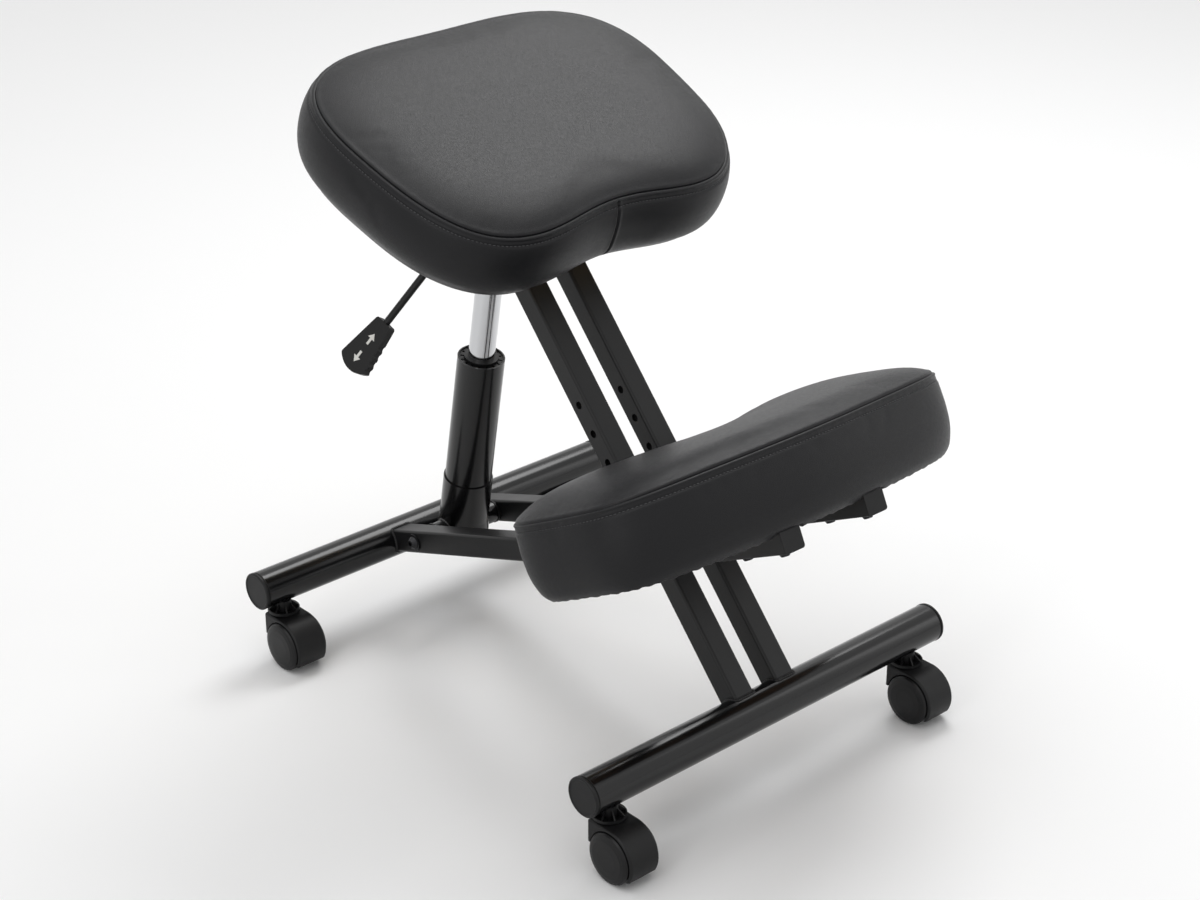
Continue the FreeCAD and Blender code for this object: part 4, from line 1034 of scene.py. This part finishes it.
# %% Printed arrows on the paddle
DROOP = math.radians(55.9)
PADDLE_START = 156.0
INK_BOTTOM = 4.45
INK_TOP = 4.62
BEND = np.array([-37.6, 2.4, -14.5])
ARROW = np.array([(-1.5, -6.5), (1.5, -6.5), (1.5, 0.5), (4.8, 0.5), (0, 6.5), (-4.8, 0.5), (-1.5, 0.5)])


def pad_print():
    """White two-part ink, slightly matt."""
    material, tree, shader = finish_material("white_pad_print_ink", "#dcdcd8")
    uneven(tree, shader, "Roughness", 2.0, 0.5, 0.6)
    return material


def print_arrows():
    """Each arrow is a closed plate: its outline, raised from just under the face to just over it."""
    out = np.array([-math.cos(DROOP), 0, -math.sin(DROOP)])
    face = np.array([-math.sin(DROOP), 0, math.cos(DROOP)])
    wide = np.cross(face, out)
    parts = []
    for place, way in ((22.0, -1), (44.0, 1)):
        start = BEND + out * (PADDLE_START + place)
        flat = start + ARROW[:, :1] * wide + way * ARROW[:, 1:] * out
        points = np.vstack([flat + face * INK_BOTTOM, flat + face * INK_TOP])
        count = len(ARROW)
        lower = tuple(range(count))
        upper = tuple(range(count, 2 * count))
        sides = [(i, (i + 1) % count, count + (i + 1) % count, count + i) for i in range(count)]
        faces = [lower[::-1], upper, *sides]
        if way < 0:
            faces = [face_points[::-1] for face_points in faces]
        parts.append((placed(points, SEAT_AXES), faces))
    points, faces = merged(parts)
    piece = make_mesh_object("paddle_arrows", points, faces, pad_print(), smooth=False)
    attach(piece, "lever")
    print("paddle arrows:", len(faces), "faces")


print_arrows()

# %% [markdown]
# The studio: a pale floor, an even light from above, one large soft light high behind the chair, whose
# reflection gives the seat's top its sheen, a tall one on each side, and a white world that only the
# camera, mirrors and glass see at full strength.

# %% Floor, lights and background
WORLD_FILL = 0.4


def pale_floor():
    """Matt white paint on a floor that reaches past the picture."""
    material, tree, shader = finish_material("matt_white_floor_paint", "#f2f2f2")
    uneven(tree, shader, "Roughness", 80, 0.85, 0.95)
    half = 12.0
    points = [(-half, -half, 0), (half, -half, 0), (half, half, 0), (-half, half, 0)]
    floor = make_mesh_object("floor", points, [(0, 1, 2, 3)], material, smooth=False)


def soft_light(name, place, aim, width, height, power):
    """A rectangular soft light that faces a point."""
    data = bpy.data.lights.new(name, "AREA")
    data.shape = "RECTANGLE"
    data.size = width
    data.size_y = height
    data.energy = power
    light = bpy.data.objects.new(name, data)
    light.location = place
    back = np.array(place) - np.array(aim)
    light.rotation_mode = "QUATERNION"
    light.rotation_quaternion = Vector(back.tolist()).to_track_quat("Z", "Y")
    bpy.context.scene.collection.objects.link(light)


def white_world():
    """Strength 1 for what the camera, mirrors and glass see, and a soft fill for everything else."""
    world = bpy.data.worlds.new("studio")
    bpy.context.scene.world = world
    world.use_nodes = True
    tree = world.node_tree
    tree.nodes.clear()
    ray = add(tree, "LightPath")
    seen = ray.outputs["Is Camera Ray"]
    for name in ("Is Glossy Ray", "Is Transmission Ray"):
        seen = add(tree, "Math", {0: seen, 1: ray.outputs[name]}, operation="MAXIMUM").outputs["Value"]
    strength = ranged(tree, seen, WORLD_FILL, 1.0)
    light = add(tree, "Background", {"Color": (1, 1, 1, 1), "Strength": strength})
    output = add(tree, "OutputWorld")
    tree.links.new(light.outputs["Background"], output.inputs["Surface"])


def even_light(name, towards, strength, spread_deg):
    """A very wide soft sun: the same light on the whole floor, so that it shows no falloff."""
    data = bpy.data.lights.new(name, "SUN")
    data.energy = strength
    data.angle = math.radians(spread_deg)
    light = bpy.data.objects.new(name, data)
    light.rotation_mode = "QUATERNION"
    light.rotation_quaternion = Vector(towards).to_track_quat("Z", "Y")
    bpy.context.scene.collection.objects.link(light)


pale_floor()
white_world()
even_light("even_light_above", (-0.1, 0.1, 1.0), 1.25, 70)
soft_light("light_behind", (1.3, 0.65, 2.35), (0, 0.1, 0.5), 1.15, 1.15, 25)
soft_light("light_left", (-2.2, -0.7, 1.3), (0, 0, 0.35), 0.5, 1.8, 8)
soft_light("light_right", (1.9, -1.6, 1.2), (0, 0, 0.35), 0.4, 1.8, 4)
bpy.context.scene.view_settings.view_transform = "Standard"
